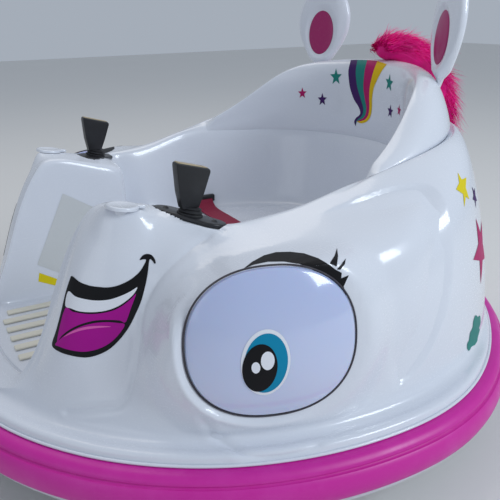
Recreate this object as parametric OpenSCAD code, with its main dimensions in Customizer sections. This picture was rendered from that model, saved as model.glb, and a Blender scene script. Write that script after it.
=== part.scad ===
// Battery ride-on bumper car for a small child: moulded body with two joystick consoles and a
// leg gap between them, a raised backrest with two ears and a fur mane, a soft ring bumper,
// two driven side wheels and two swivel casters.
// Z up, floor at z = 0, origin under the middle of the bumper ring. The front is -Y and the
// car's own left is +X.

/* [Overall] */
// Half width of the body where its skirt stands inside the bumper
skirt_r = 317.5; // [312:0.5:324]
// Half width of the skirt round the rear, which is tighter than the front
rear_r = 297; // [294:0.5:304]
// Length of the car over its width
length_ratio = 1.063; // [1.0:0.005:1.12]
// Thickness of the moulded skin
skin_t = 3; // [2:0.25:4]
// Clearance between pieces that seat on each other
seat_gap = 0.3; // [0.1:0.1:0.6]

/* [Body] */
// Half width at the foot of the outer wall
wall_r = 291; // [280:1:296]
// Height of the foot of the outer wall
wall_z = 106; // [102:1:112]
// Height of the flat flange behind the bumper
flange_z = 97; // [93:1:99]
// Height of the footwell floor
floor_z = 105; // [100:1:112]
// Height of the seat pan
seat_z = 165; // [140:1:190]
// Distance of the seat pan's front edge ahead of the centre
seat_front = 58; // [40:1:70]
// Half width of the leg gap between the consoles
leg_gap_r = 100; // [90:1:105]
// Height of the console tops at their rear end
console_z = 255; // [245:1:265]
// Rise of a console top for each millimetre forwards
console_rise = 0.26; // [0.1:0.01:0.3]

/* [Backrest] */
// Height of the backrest's crest at the rear centre
crest_z = 374; // [360:1:390]
// Height of the inner seam between backrest and body
inner_seam_z = 275; // [268:1:282]

/* [Bumper] */
// Thickness of the bumper band, from the skirt to its outermost line
bumper_t = 20.5; // [14:0.5:26]
// Height of the bumper band
bumper_h = 34; // [30:1:36]
// Depth of the crease along the bumper below its top
crease_drop = 3; // [2:0.5:5]

/* [Eyes] */
// Length of an eye lens along the body
eye_w = 142; // [120:1:160]
// Height of an eye lens
eye_h = 128; // [110:1:132]
// How far the lens domes out
eye_dome = 17; // [10:1:24]
// Distance of the lens seat from the car's centre line
eye_seat = 288; // [285:0.5:292]
// Width of the dark gasket round a lens
gasket_w = 2; // [1:0.5:3]

/* [Ears and mane] */
// Width of an ear
ear_w = 80; // [60:1:86]
// Height of an ear
ear_h = 126; // [105:1:140]
// Thickness of an ear
ear_t = 17; // [12:1:22]
// Half width of the mane
mane_r = 34; // [24:1:44]
// Depth of the mane behind the backrest
mane_t = 42; // [30:1:46]

/* [Controls] */
// Height of a joystick above its pivot
stick_h = 54; // [45:1:70]
// Width of a joystick's grip at the top
stick_w = 33; // [26:1:38]
// Radius of the round boot at a joystick's foot
boot_r = 13; // [11:0.5:15]
// Radius of the round cap at a console's front end
cap_r = 14.5; // [12:0.5:17]

/* [Base and wheels] */
// Height of the underside of the base tray
tray_z = 30; // [26:1:34]
// Thickness of the base tray
tray_t = 8; // [6:0.5:9]
// Rise of the tray's rim, which carries the bumper, above its floor
rim_rise = 14; // [8:1:15]
// Distance of the wall of the dished tray inside the skirt
dish_in = 44; // [38:1:46]
// Radius of a drive wheel
drive_r = 64; // [56:1:68]
// Width of a drive wheel
drive_w = 34; // [26:1:38]
// Distance of a drive wheel's middle from the centre line
drive_x = 224; // [214:1:230]
// Radius of a drive wheel's axle
axle_r = 5; // [4:0.5:6]
// Radius of a caster wheel
caster_r = 24; // [20:1:26]
// Width of a caster wheel
caster_w = 20; // [16:1:24]
// Distance of a caster's swivel ahead of or behind the centre
caster_y = 206; // [200:1:209]
// Distance of a caster's axle behind its swivel
caster_trail = 13; // [8:1:15]

/* [Hidden] */
$fn = 64;

white = "white";
pink = [0.78, 0.15, 0.60];
hot_pink = [0.90, 0.0, 0.50];
black = [0.05, 0.05, 0.06];

tray_top = tray_z + tray_t;
rim_top = tray_top + rim_rise;
bumper_z = rim_top;
skirt_z = rim_top + seat_gap;
// The rear is tighter, so the middle of the whole length lies ahead of the plan's own centre
centre_y = (skirt_r - rear_r) * length_ratio / 2;
module car() { translate([0, centre_y, 0]) children(); }
ledge_drop = 5;

// Places round the body as seen from above, measured from +X towards +Y in the plan that is
// shortened by length_ratio, for one half of the car from the rear centre to the front centre.
// Columns: angle; shoulder radius and height; a point half way in; the outer edge of the rim,
// seam or console top; the inner edge; the curve of the outer wall.
A = 0; SR = 1; SZ = 2; MR = 3; MZ = 4; ER = 5; EZ = 6; IR = 7; IZ = 8; BOW = 9;
function console_top(a, r) =
    console_z + console_rise * (r * length_ratio * sin(-a) - 100);
function gap_r(a) = leg_gap_r / cos(a);
STATIONS = [
    [ 90,    252, 300,   250, 307,   247, 310,   193, inner_seam_z, 1.7],
    [ 78,    252, 300,   250, 307,   247, 310,   193, inner_seam_z, 1.7],
    [ 66,    252, 300,   250, 307,   247, 310,   193, inner_seam_z, 1.7],
    [ 55,    253, 299,   249, 306,   245, 310,   193, inner_seam_z, 1.7],
    [ 46,    256, 295,   248, 304,   241, 308,   192, inner_seam_z, 1.7],
    [ 38,    261, 286,   246, 299,   234, 305,   190, inner_seam_z, 1.8],
    [ 30,    265, 275,   242, 292,   223, 300,   188, inner_seam_z, 1.9],
    [ 22,    268, 264,   238, 281,   211, 293,   186, inner_seam_z + 1, 2],
    [ 15,    270, 256,   234, 271,   201, 287,   185, inner_seam_z + 3, 2],
    [  8,    271, 249,   232, 263,   198, 278,   184, inner_seam_z + 4, 2],
    [  1,    271, 244,   232, 256,   197, 269,   182, 271, 2],
    [ -7,    271, 241,   233, 251,   197, 261,   180, 263, 2],
    [-14,    271, 239,   236, 247,   199, 257,   180, 259, 2],
    [-20,    270, 237,   240, 244,   204, 255,   184, 257, 2],
    [-25,    268, 234,   242, 241,   210, 254,   193, 256, 2],
    [-28.5,  266, 230,   240, 238,   213, 254,   195, 256, 2],
    [-32,    265, 225,   226, 240,   208, 257,   179, console_top(-32, 179), 1.9],
    [-36,    264, 216,   226, 240,   207, 261,   160, console_top(-36, 160), 1.7],
    [-40,    262, 200,   228, 238,   210, 266,   146, console_top(-40, 146), 1.5],
    [-44,    262, 170,   234, 230,   216, 269,   142, console_top(-44, 142), 1.2],
    [-48,    256, 180,   240, 240,   224, 272,   gap_r(-48), console_top(-48, 150), 1.1],
    [-53,    258, 195,   244, 252,   228, 274,   gap_r(-53), console_top(-53, 166), 1],
    [-58,    265, 200,   244, 250,   222, 273,   gap_r(-58), console_top(-58, 189), 1],
    [-62,    262, 186,   243, 232,   221, 265,   gap_r(-62), 271, 1],
    [-65,    268, 143,   257, 175,   246, 206,   gap_r(-65) + 2, 224, 1],
    [-67.5,  283, 116,   275, 125,   268, 134,   gap_r(-67.5), 145, 1],
    [-70,    290, 107,   286, 109,   284, 113,   gap_r(-69.5) - 10, 117, 1],
    [-73,    294, 101,   289, 103,   282, 105,   272, 105, 1],
    [-78,    296, 100,   290, 103,   282, 105,   272, 105, 1],
    [-84,    297, 100,   291, 103,   283, 105,   272, 105, 1],
    [-90,    297, 100,   291, 103,   283, 105,   272, 105, 1]
];

// Heights and radii of the backrest's crest at the stations that carry it
// Columns: crest radius, crest height below the crest at the rear centre
CREST = [
    [214, 0], [213, 1], [209, 4], [203, 9], [197, 21], [192, 41], [189, 61], [188, 77],
    [188, 89.5], [189, 97]
];

function lerp(a, b, t) = a + (b - a) * t;
function clamp01(t) = min(1, max(0, t));
function smooth(t) = let (c = clamp01(t)) c * c * (3 - 2 * c);

// Height of the floor under a given angle: the seat pan at the rear and sides, the footwell ahead
function floor_at(a) = lerp(floor_z, seat_z, smooth((a + 29) / 9));
// How much of the outer wall a station has: 1 beside and behind the seat, 0 across the leg gap
function wall_share(a) = smooth((a + 71) / 5);
// How much of its flange the skirt has: all of it in front and beside, little round the rear
function flange_share(a) = 1 - smooth((a - 6) / 42);
function foot_r(s) = s[IR] - lerp(3, 15, smooth((s[A] + 45) / 15));
function step_r(a, y, r_max) = a > -20 ? r_max : min(r_max, y / sin(-a));

// One section of the body, from the foot of its skirt over the rim to the middle of the floor
function body_section(s) = let (
    f = floor_at(s[A]),
    rf = foot_r(s),
    fillet = lerp(8, 18, smooth((s[A] + 45) / 15)),
    zi = s[IZ],
    share = wall_share(s[A]),
    base_r = lerp(s[SR] + 2, wall_r, share),
    base_z = lerp(s[SZ] - 1, wall_z, share),
    flange = flange_share(s[A]),
    skirt = lerp(rear_r, skirt_r, flange),
    k = lerp((rear_r - wall_r) / (skirt_r - wall_r), 1, flange)
) [
    [skirt, skirt_z], [skirt, lerp(skirt_z, flange_z, 0.5)], [skirt, flange_z - 5],
    [skirt - 2 * k, flange_z - lerp(3, 0, flange)],
    [skirt - 8 * k, flange_z + lerp(-0.5, 0.5, flange)],
    [skirt - 14 * k, flange_z + lerp(2, -2, flange)],
    [lerp(skirt - 18 * k, base_r, 0.5), flange_z + lerp(4, -0.5, flange)], [base_r + 1, base_z - 3],
    for (t = [0.12, 0.32, 0.54, 0.77, 1])
        [base_r + (s[SR] - base_r) * pow(t, s[BOW]), base_z + (s[SZ] - base_z) * t],
    [s[MR], s[MZ]],
    [s[ER], s[EZ]],
    s[A] >= 8 ? [s[ER] - ledge_drop, s[EZ] - ledge_drop * 0.6]
              : [lerp(s[IR], s[ER], 0.6), max(s[EZ], zi) + 1.5],
    s[A] >= 8 ? [lerp(s[IR], s[ER], 0.4), lerp(zi, s[EZ], 0.35)]
              : [lerp(s[IR], s[ER], 0.22), zi + 1],
    [s[IR], zi - 3],
    [lerp(s[IR], rf, 0.25), lerp(zi, f, 0.2)],
    [lerp(s[IR], rf, 0.65), lerp(zi, f, 0.55)],
    [rf, f + min(22, (zi - f) * 0.3)],
    [rf - fillet * 0.35, f + min(5, (zi - f) * 0.1)],
    [rf - fillet, f],
    [rf - fillet - 6, f],
    [step_r(s[A], seat_front + 40, rf * 0.75), f],
    [step_r(s[A], seat_front + 16, rf * 0.62), f],
    [step_r(s[A], seat_front + 10, rf * 0.55), lerp(f, seat_z, 0.12)],
    [step_r(s[A], seat_front + 3, rf * 0.46), lerp(f, seat_z, 0.88)],
    [step_r(s[A], seat_front - 3, rf * 0.38), seat_z],
    [step_r(s[A], seat_front - 18, rf * 0.2), seat_z]
];
FIRST_LEDGE = 15;
LAST_LEDGE = 17;

// One section of the backrest above the ledge, from its outer seam over the crest to its inner one
function backrest_section(s, c) = let (
    zc = crest_z - c[1],
    ro = s[ER] - ledge_drop, zo = s[EZ] - ledge_drop * 0.6,
    ri = s[IR], zi = s[IZ] - 3
) [
    [ro, zo],
    [lerp(c[0], ro, 0.97), lerp(zo, zc, 0.2)],
    [lerp(c[0], ro, 0.80), lerp(zo, zc, 0.55)],
    [lerp(c[0], ro, 0.58), lerp(zo, zc, 0.84)],
    [lerp(c[0], ro, 0.28), lerp(zo, zc, 0.98)],
    [c[0], zc],
    [lerp(ri, c[0], 0.55), lerp(zi, zc, 0.975)],
    [lerp(ri, c[0], 0.25), lerp(zi, zc, 0.90)],
    [lerp(ri, c[0], 0.10), lerp(zi, zc, 0.76)],
    [ri + 1, lerp(zi, zc, 0.45)],
    [ri, zi]
];

function plan(a, p) = [p[0] * cos(a), length_ratio * p[0] * sin(a), p[1]];
function mirrored(p) = [-p[0], p[1], p[2]];
// A cubic B-spline between the second and third of four points
function blend4(p, t) =
    (pow(1 - t, 3) * p[0] + (3 * pow(t, 3) - 6 * t * t + 4) * p[1]
    + (-3 * pow(t, 3) + 3 * t * t + 3 * t + 1) * p[2] + pow(t, 3) * p[3]) / 6;
// The same spline along a section, with its ends held
function eased(row) = [for (j = [0:len(row) - 1])
    j == 0 || j == len(row) - 1 ? row[j] : (row[j - 1] + 4 * row[j] + row[j + 1]) / 6];

// Both halves of the ring of control sections, rear centre first, then round by the left
HALF = len(STATIONS);
function ring(sections) = concat(
    [for (i = [0:HALF - 1]) sections[i]],
    [for (i = [HALF - 2:-1:1]) [for (p = sections[i]) mirrored(p)]]
);
// Wide spans between stations get two columns and narrow ones get one
wide_span = 6.5;
function span_steps(i) = let (
    h = i < HALF - 1 ? i : 2 * HALF - 3 - i
) STATIONS[h][A] - STATIONS[h + 1][A] > wide_span ? 2 : 1;
function splined(net) = [for (i = [0:len(net) - 1]) let (steps = span_steps(i))
    for (k = [0:steps - 1]) let (
        n = len(net),
        q = [for (d = [-1:2]) net[(i + d + n) % n]]
    ) [for (j = [0:len(net[0]) - 1]) blend4([for (c = q) c[j]], k / steps)]];

// The eye's own frame: X points out of the lens, Z up along it
eye_turn = -18.4;
eye_tilt = 7;
eye_mid = [eye_seat * cos(eye_turn) - 5, eye_seat * sin(eye_turn) - 16, 183];
function eye_local(p) = let (
    d = p - eye_mid,
    x = d[0] * cos(eye_turn) + d[1] * sin(eye_turn),
    y = -d[0] * sin(eye_turn) + d[1] * cos(eye_turn)
) [x * cos(eye_tilt) + d[2] * sin(eye_tilt), y, -x * sin(eye_tilt) + d[2] * cos(eye_tilt)];
eye_out = [cos(eye_turn) * cos(eye_tilt), sin(eye_turn) * cos(eye_tilt), sin(eye_tilt)];
// The outer wall is drawn out to a flat seat under the lens, and blends back round it
function eyed(p) = let (
    l = eye_local(p),
    d = norm([l[1] / (eye_w / 2), l[2] / (eye_h / 2)]),
    pull = (1 - smooth((d - 1.16) / 0.5)) * smooth((l[0] + 45) / 22)
        * smooth((p[2] - flange_z - 2) / 10)
) p - eye_out * (l[0] * pull);
function both_eyes(p) = p[0] >= 0 ? eyed(p) : mirrored(eyed(mirrored(p)));

BODY_NET = ring([for (s = STATIONS) [for (p = eased(body_section(s))) plan(s[A], p)]]);
BODY = [for (col = splined(BODY_NET)) [for (p = col) both_eyes(p)]];
BODY_ROWS = len(BODY[0]);
BODY_COLS = len(BODY);

function unit(v) = v / norm(v);
function column(grid, i) = grid[(i + len(grid)) % len(grid)];
// The outward direction at a point of the grid, from its neighbours along and across
function grid_normal(grid, i, j) = let (
    m = len(grid[0]) - 1,
    along = column(grid, i + 1)[j] - column(grid, i - 1)[j],
    across = grid[i][min(m, j + 1)] - grid[i][max(0, j - 1)]
) unit(cross(across, along));
BODY_INNER = [for (i = [0:BODY_COLS - 1]) [for (j = [0:BODY_ROWS - 1])
    let (p = BODY[i][j] - skin_t * grid_normal(BODY, i, j)) j == 0 ? [p[0], p[1], skirt_z] : p]];

module skin_between(outer, inner) {
    n = len(outer);
    m = len(outer[0]);
    top = [for (c = outer) for (p = c) p];
    low = [for (c = inner) for (p = c) p];
    mid_top = [0, 0, seat_z];
    mid_low = [0, 0, seat_z - skin_t];
    base = n * m;
    function at(i, j) = (i % n) * m + j;
    faces = [
        for (i = [0:n - 1]) for (j = [0:m - 2]) each [
            [at(i, j), at(i, j + 1), at(i + 1, j + 1)], [at(i, j), at(i + 1, j + 1), at(i + 1, j)],
            [base + at(i, j), base + at(i + 1, j + 1), base + at(i, j + 1)],
            [base + at(i, j), base + at(i + 1, j), base + at(i + 1, j + 1)]],
        for (i = [0:n - 1]) each [
            [at(i, 0), at(i + 1, 0), base + at(i + 1, 0)], [at(i, 0), base + at(i + 1, 0), base + at(i, 0)],
            [at(i, m - 1), 2 * base, at(i + 1, m - 1)],
            [base + at(i, m - 1), base + at(i + 1, m - 1), 2 * base + 1]]
    ];
    polyhedron(concat(top, low, [mid_top, mid_low]), faces, convexity = 10);
}

// The skin has a seat and a hole for each joystick's bezel and for each console cap
module body_shell() {
    car() color(white) difference() {
        skin_between(BODY, BODY_INNER);
        for (side = [-1, 1]) {
            at_bezel(side) {
                linear_extrude(20) bezel_outline(seat_gap);
                translate([0, 0, -24]) cylinder(r = boot_r - 1, h = 26);
            }
            at_cap(side) {
                linear_extrude(12) cap_outline(seat_gap);
                translate([0, 0, -16]) cylinder(r = plug_r + seat_gap, h = 18);
            }
        }
    }
}

// The backrest's control net runs over the stations that have a crest, on both sides
BACK = len(CREST);
back_half = [for (i = [0:BACK - 1])
    [for (p = eased(backrest_section(STATIONS[i], CREST[i]))) plan(STATIONS[i][A], p)]];
back_net = concat([for (i = [BACK - 1:-1:1]) [for (p = back_half[i]) mirrored(p)]], back_half);
back_steps = 2;
back_cols = [for (i = [1:len(back_net) - 3]) for (k = [0:back_steps - 1])
    [for (j = [0:len(back_net[0]) - 1])
        blend4([for (d = [-1:2]) back_net[i + d][j]], k / back_steps)]];
// The body's column that lies under a column of the backrest
function body_under(i) = column(BODY, i - back_steps * (BACK - 2));
module backrest_shell() {
    n = len(back_cols);
    loops = [for (i = [0:n - 1]) concat(
        [for (j = [0:len(back_cols[i]) - 1]) j == 0 ? body_under(i)[FIRST_LEDGE] + [0, 0, seat_gap]
            : j == len(back_cols[i]) - 1 ? body_under(i)[LAST_LEDGE] + [0, 0, seat_gap]
            : back_cols[i][j]],
        [for (j = [LAST_LEDGE - 1:-1:FIRST_LEDGE + 1]) body_under(i)[j] + [0, 0, seat_gap]]
    )];
    m = len(loops[0]);
    function at(i, j) = i * m + (j % m);
    car() color(white) difference() {
        polyhedron([for (l = loops) for (p = l) p], [
            for (i = [0:n - 2]) for (j = [0:m - 1]) each [
                [at(i, j), at(i, j + 1), at(i + 1, j + 1)],
                [at(i, j), at(i + 1, j + 1), at(i + 1, j)]],
            for (j = [1:m - 2]) each [[0, j + 1, j], [at(n - 1, 0), at(n - 1, j), at(n - 1, j + 1)]]
        ], convexity = 8);
        for (side = [-1, 1]) at_ear(side) ear_form(seat_gap);
    }
}

// Raised treads across the footwell, shorter towards its rounded front
rib_pitch = 12;
rib_w = 5;
rib_h = 2.5;
rib_first = 274;
module footwell_ribs() {
    car() color([0.93, 0.90, 0.80]) for (i = [0:11]) {
        y = rib_first - i * rib_pitch;
        half = min(leg_gap_r - 20, leg_gap_r - 48 + sqrt(max(0, rib_first + 2 - y)) * 8);
        translate([-half, -y - rib_w / 2, floor_z + seat_gap]) cube([2 * half, rib_w, rib_h]);
    }
}

// The skirt's outline from the body's own columns, moved straight out from it
SKIRT = [for (c = BODY) [c[1][0], c[1][1]]];
function outside_skirt(i, out) = let (
    along = column(SKIRT, i + 1) - column(SKIRT, i - 1)
) column(SKIRT, i) + out * unit([-along[1], along[0]]);
module oval_plate(out, h) {
    linear_extrude(h) polygon([for (i = [0:BODY_COLS - 1]) outside_skirt(i, out)]);
}

wheel_well = [drive_w + 16, 2 * drive_r + 16];
cup_r = caster_r + caster_trail + 8;
// Bearers across the tray, ahead of the battery
bearer = [220, 6, 10];
bearer_y = [40, -60];
dish_t = 6;
// A dished moulding: a floor, a wall round it and a rim that carries the body and the bumper
module base_tray() {
    car() color(white) difference() {
        union() {
            difference() {
                union() {
                    translate([0, 0, rim_top - tray_t]) oval_plate(bumper_t * 0.55, tray_t);
                    translate([0, 0, tray_z]) oval_plate(-dish_in, rim_top - tray_z);
                }
                translate([0, 0, tray_top]) oval_plate(-dish_in - dish_t, rim_top);
            }
            for (y = bearer_y) translate([-bearer[0] / 2, y, tray_top]) cube(bearer);
        }
        for (s = [-1, 1]) {
            translate([s * drive_x - wheel_well[0] / 2, -wheel_well[1] / 2, tray_z - 1])
                cube([wheel_well[0], wheel_well[1], tray_t + 2]);
            translate([0, s * caster_y, tray_z - 1]) cylinder(r = cup_r - 3, h = tray_t + 2);
        }
    }
}

// The band's outline beside the skirt: a flat foot, a full round roll, the crease and the top band
module bumper_ring() {
    r = 2 * seat_gap;
    t = bumper_t;
    crease_h = bumper_h - crease_drop;
    roll_h = crease_h / 2;
    outline = concat(
        [[r, bumper_z], [t * 0.5, bumper_z]],
        [for (k = [-60:24:60]) [t * 0.6 + t * 0.4 * cos(k), bumper_z + roll_h * (1 + sin(k) / sin(66))]],
        [[t * 0.72, bumper_z + crease_h], [t * 0.66, bumper_z + crease_h + 2],
         [t * 0.5, bumper_z + bumper_h - 0.5], [t * 0.3, bumper_z + bumper_h + 1.5],
         [r, bumper_z + bumper_h + 2]]
    );
    m = len(outline);
    function at(i, j) = (i % BODY_COLS) * m + j % m;
    car() color(pink) polyhedron(
        [for (i = [0:BODY_COLS - 1]) for (o = outline) let (p = outside_skirt(i, o[0]))
            [p[0], p[1], o[1]]],
        [for (i = [0:BODY_COLS - 1]) for (j = [0:m - 1]) each [
            [at(i, j), at(i + 1, j + 1), at(i, j + 1)], [at(i, j), at(i + 1, j), at(i + 1, j + 1)]]],
        convexity = 6);
}

module at_eye(side) {
    mirror([side < 0 ? 1 : 0, 0, 0]) translate(eye_mid) rotate([0, 0, eye_turn])
        rotate([0, -eye_tilt, 0]) rotate([90, 0, 90]) children();
}
// The lens outline is a full, slightly squared oval
eye_power = 2.3;
function eye_ray(k) = pow(pow(abs(cos(k)) / (eye_w / 2), eye_power)
    + pow(abs(sin(k)) / (eye_h / 2), eye_power), -1 / eye_power);
module eye_outline(out) {
    polygon([for (k = [0:5:355]) (eye_ray(k) + out) * [cos(k), sin(k)]]);
}
lens_edge = 2;
lens_r = ((eye_w / 2) * (eye_w / 2) + pow(eye_dome - lens_edge, 2)) / (2 * (eye_dome - lens_edge));
module eye_lens(side) {
    car() color([0.93, 0.93, 0.97]) at_eye(side) translate([0, 0, seat_gap]) intersection() {
        linear_extrude(2 * eye_dome) eye_outline(0);
        translate([0, 0, eye_dome - lens_r]) sphere(r = lens_r, $fn = 128);
    }
}
module eye_gasket(side) {
    car() color([0.35, 0.35, 0.38]) at_eye(side) translate([0, 0, seat_gap]) linear_extrude(2.4)
        difference() {
            eye_outline(0.3 + gasket_w);
            eye_outline(0.3);
        }
}
module eye_lens_left() { eye_lens(1); }
module eye_lens_right() { eye_lens(-1); }
module eye_gasket_left() { eye_gasket(1); }
module eye_gasket_right() { eye_gasket(-1); }

// An ear faces forwards and inwards from the backrest's crest
ear_x = 118;
ear_y = 203;
ear_turn = 24;
ear_foot = 24;
module at_ear(side) {
    mirror([side < 0 ? 1 : 0, 0, 0])
        translate([ear_x, ear_y, crest_z - ear_foot]) rotate([-6, 0, -ear_turn]) children();
}
// Half width of the ear at a height, as a share: narrow at the foot, full above the middle
function ear_half(t) = ear_w / 2 * (t < 0.56 ? 0.62 + 0.38 * sin(90 * t / 0.56)
    : sqrt(max(0, 1 - pow((t - 0.56) / 0.44, 2))));
module ear_form(out) {
    edge = ear_t / 2;
    hull() for (t = [0.0, 0.15, 0.35, 0.56, 0.75, 0.89, 1]) {
        x = max(0.5, ear_half(t) - edge);
        for (s = [-1, 1]) translate([s * x, 0, edge + t * (ear_h - 2 * edge)])
            sphere(r = edge + out, $fn = 12);
    }
}
module ear(side) {
    car() color(white) at_ear(side) ear_form(0);
}
module ear_pad(side) {
    car() color([0.6, 0.04, 0.36]) at_ear(side)
        translate([0, -ear_t / 2 - seat_gap, ear_h * 0.43]) rotate([90, 0, 0])
            linear_extrude(1.2) polygon([for (k = [0:8:352]) [19 * cos(k), 29 * sin(k)]]);
}
module ear_left() { ear(1); }
module ear_right() { ear(-1); }
module ear_pad_left() { ear_pad(1); }
module ear_pad_right() { ear_pad(-1); }

// The mane's soft core runs from between the ears over the crest and down the back.
// Columns: distance behind the crest, height above it, share of the full thickness.
MANE = [
    [-14, 17.8, 0.8], [14, 18.8, 1], [34, 2.8, 1], [57, -30, 1], [67, -66, 1], [78, -110, 0.8]
];
module mane() {
    squash = mane_t / 2 / mane_r;
    car() color(hot_pink) translate([0, CREST[0][0] * length_ratio, crest_z])
        for (i = [0:len(MANE) - 2]) hull() for (k = [i, i + 1])
            translate([0, MANE[k][0], MANE[k][1]]) scale([1, squash, squash])
                sphere(r = mane_r * MANE[k][2], $fn = 12);
}

plug_r = 8;
cap_t = 3.5;
cap_pos = [141, -183];
cap_z = console_z + console_rise * 83 - 0.5;
stick_slope = atan(console_rise);
module at_cap(side) {
    mirror([side < 0 ? 1 : 0, 0, 0]) translate([cap_pos[0], cap_pos[1], cap_z])
        rotate([-8, 0, 0]) children();
}
module cap_outline(out) {
    circle(r = cap_r + out);
    translate([-4 - out, 0]) square([8 + 2 * out, cap_r + 6 + out]);
}
module console_cap(side) {
    car() color(white) at_cap(side) {
        linear_extrude(cap_t) cap_outline(0);
        translate([0, 0, -8]) cylinder(r = plug_r, h = 9);
    }
}
module console_cap_left() { console_cap(1); }
module console_cap_right() { console_cap(-1); }

stick_pos = [150, -124];
stick_z = console_z + console_rise * 22 - 1.5;
bezel_turn = 40;
bezel_size = [72, 28, 4];
boot_h = 14;
boot_bore = 7.5;
module at_stick(side) {
    mirror([side < 0 ? 1 : 0, 0, 0]) translate([stick_pos[0], stick_pos[1], stick_z]) children();
}
module at_bezel(side) {
    at_stick(side) rotate([-stick_slope, 0, 0]) rotate([0, 0, bezel_turn]) children();
}
module bezel_outline(out) {
    straight = bezel_size[0] - bezel_size[1];
    square([straight, bezel_size[1] + 2 * out], center = true);
    for (s = [-1, 1]) translate([s * straight / 2, 0]) circle(r = bezel_size[1] / 2 + out);
}
// A plate with a socket under it and a round boot over it, bored for the joystick's shaft
module stick_bezel(side) {
    car() color(black) at_bezel(side) difference() {
        union() {
            linear_extrude(bezel_size[2]) bezel_outline(0);
            translate([0, 0, -18]) cylinder(r = boot_r - 1 - seat_gap, h = 19);
            cylinder(r1 = boot_r, r2 = boot_bore + 2, h = boot_h);
        }
        translate([0, 0, -6]) cylinder(r = boot_bore, h = boot_h + 8);
    }
}
// The joystick turns on a hub along X that fits the bore
pivot_h = 2;
hub_w = 8;
hub_r = 6;
shaft_r = 4;
module joystick(side) {
    car() color(black) at_stick(side) rotate([-stick_slope, 0, 0]) translate([0, 0, pivot_h]) {
        rotate([0, 90, 0]) translate([0, 0, -hub_w / 2]) cylinder(r = hub_r, h = hub_w);
        cylinder(r = shaft_r, h = boot_h + 6);
    }
    car() color(black) at_stick(side) rotate([90, 0, 90]) translate([0, 0, -6]) linear_extrude(12)
        polygon([[-3, boot_h + 6], [9, boot_h + 6], [stick_w * 0.62, stick_h - 14],
            [stick_w * 0.66, stick_h - 11], [-stick_w * 0.34 + 2, stick_h],
            [-stick_w * 0.34, stick_h - 3]]);
}
module stick_bezel_left() { stick_bezel(1); }
module stick_bezel_right() { stick_bezel(-1); }
module joystick_left() { joystick(1); }
module joystick_right() { joystick(-1); }

// Lap belt: a strap from an anchor on each side of the tub, meeting in a buckle over the seat pan
strap_w = 25;
strap_t = 2;
belt_y = 30;
buckle = [44, 34, 12];
anchor = [7, 36, 10];
anchor_x = 163;
anchor_h = 42;
belt_path = [[anchor_x - 6, anchor_h - seat_gap], [152, 14], [140, seat_gap],
    [buckle[0] / 2 + seat_gap, seat_gap]];
module belt(side) {
    out = [[-1, 0], [-0.8, 0.6], [-0.4, 1], [0, 1]];
    up = [for (k = [3:-1:0]) belt_path[k] + strap_t * out[k]];
    car() color([0.6, 0.0, 0.2]) mirror([side < 0 ? 1 : 0, 0, 0])
        translate([0, belt_y + strap_w / 2, seat_z]) rotate([90, 0, 0]) linear_extrude(strap_w)
            polygon(concat(belt_path, up));
}
module belt_left() { belt(1); }
module belt_right() { belt(-1); }
module belt_buckle() {
    car() color(black) translate([-buckle[0] / 2, belt_y - buckle[1] / 2, seat_z + seat_gap]) cube(buckle);
}
module belt_anchors() {
    car() color(black) for (s = [-1, 1])
        translate([s * anchor_x - anchor[0] / 2, belt_y - anchor[1] / 2, seat_z + anchor_h])
            cube(anchor);
}

battery_size = [104, 66, 92];
battery_y = 60;
module battery() {
    car() color([0.2, 0.2, 0.22]) translate([-battery_size[0] / 2, battery_y, tray_top]) cube(battery_size);
}

gearbox_w = 46;
gearbox_x = drive_x - drive_w / 2 - 9 - gearbox_w;
module gearbox(side) {
    car() color([0.15, 0.15, 0.16]) mirror([side < 0 ? 1 : 0, 0, 0]) {
        translate([gearbox_x, 0, drive_r]) rotate([0, 90, 0]) cylinder(r = 24, h = gearbox_w);
        translate([gearbox_x, -24, tray_top]) cube([gearbox_w, 48, drive_r - tray_top]);
        translate([gearbox_x - 34, 0, drive_r + 2]) rotate([0, 90, 0]) cylinder(r = 17, h = 34);
        translate([gearbox_x + gearbox_w, 0, drive_r]) rotate([0, 90, 0])
            cylinder(r = axle_r, h = drive_w + 18);
    }
}
module gearbox_left() { gearbox(1); }
module gearbox_right() { gearbox(-1); }

axle_gap = 0.3;
module drive_wheel(side) {
    car() color(black) translate([side * drive_x, 0, drive_r]) rotate([0, 90, 0]) difference() {
        translate([0, 0, -drive_w / 2]) rotate_extrude() polygon([
            [0, 3], [30, 3], [34, 0], [drive_r - 5, 0], [drive_r - 1, 3], [drive_r, 8],
            [drive_r, drive_w - 8], [drive_r - 1, drive_w - 3], [drive_r - 5, drive_w],
            [34, drive_w], [30, drive_w - 5], [0, drive_w - 5]]);
        translate([0, 0, -drive_w]) cylinder(r = axle_r + axle_gap, h = 2 * drive_w);
        for (k = [0:5]) rotate([0, 0, k * 60]) translate([44, 0, drive_w / 2 - 5])
            cylinder(r = 7, h = drive_w);
    }
}
module drive_wheel_left() { drive_wheel(1); }
module drive_wheel_right() { drive_wheel(-1); }

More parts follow.
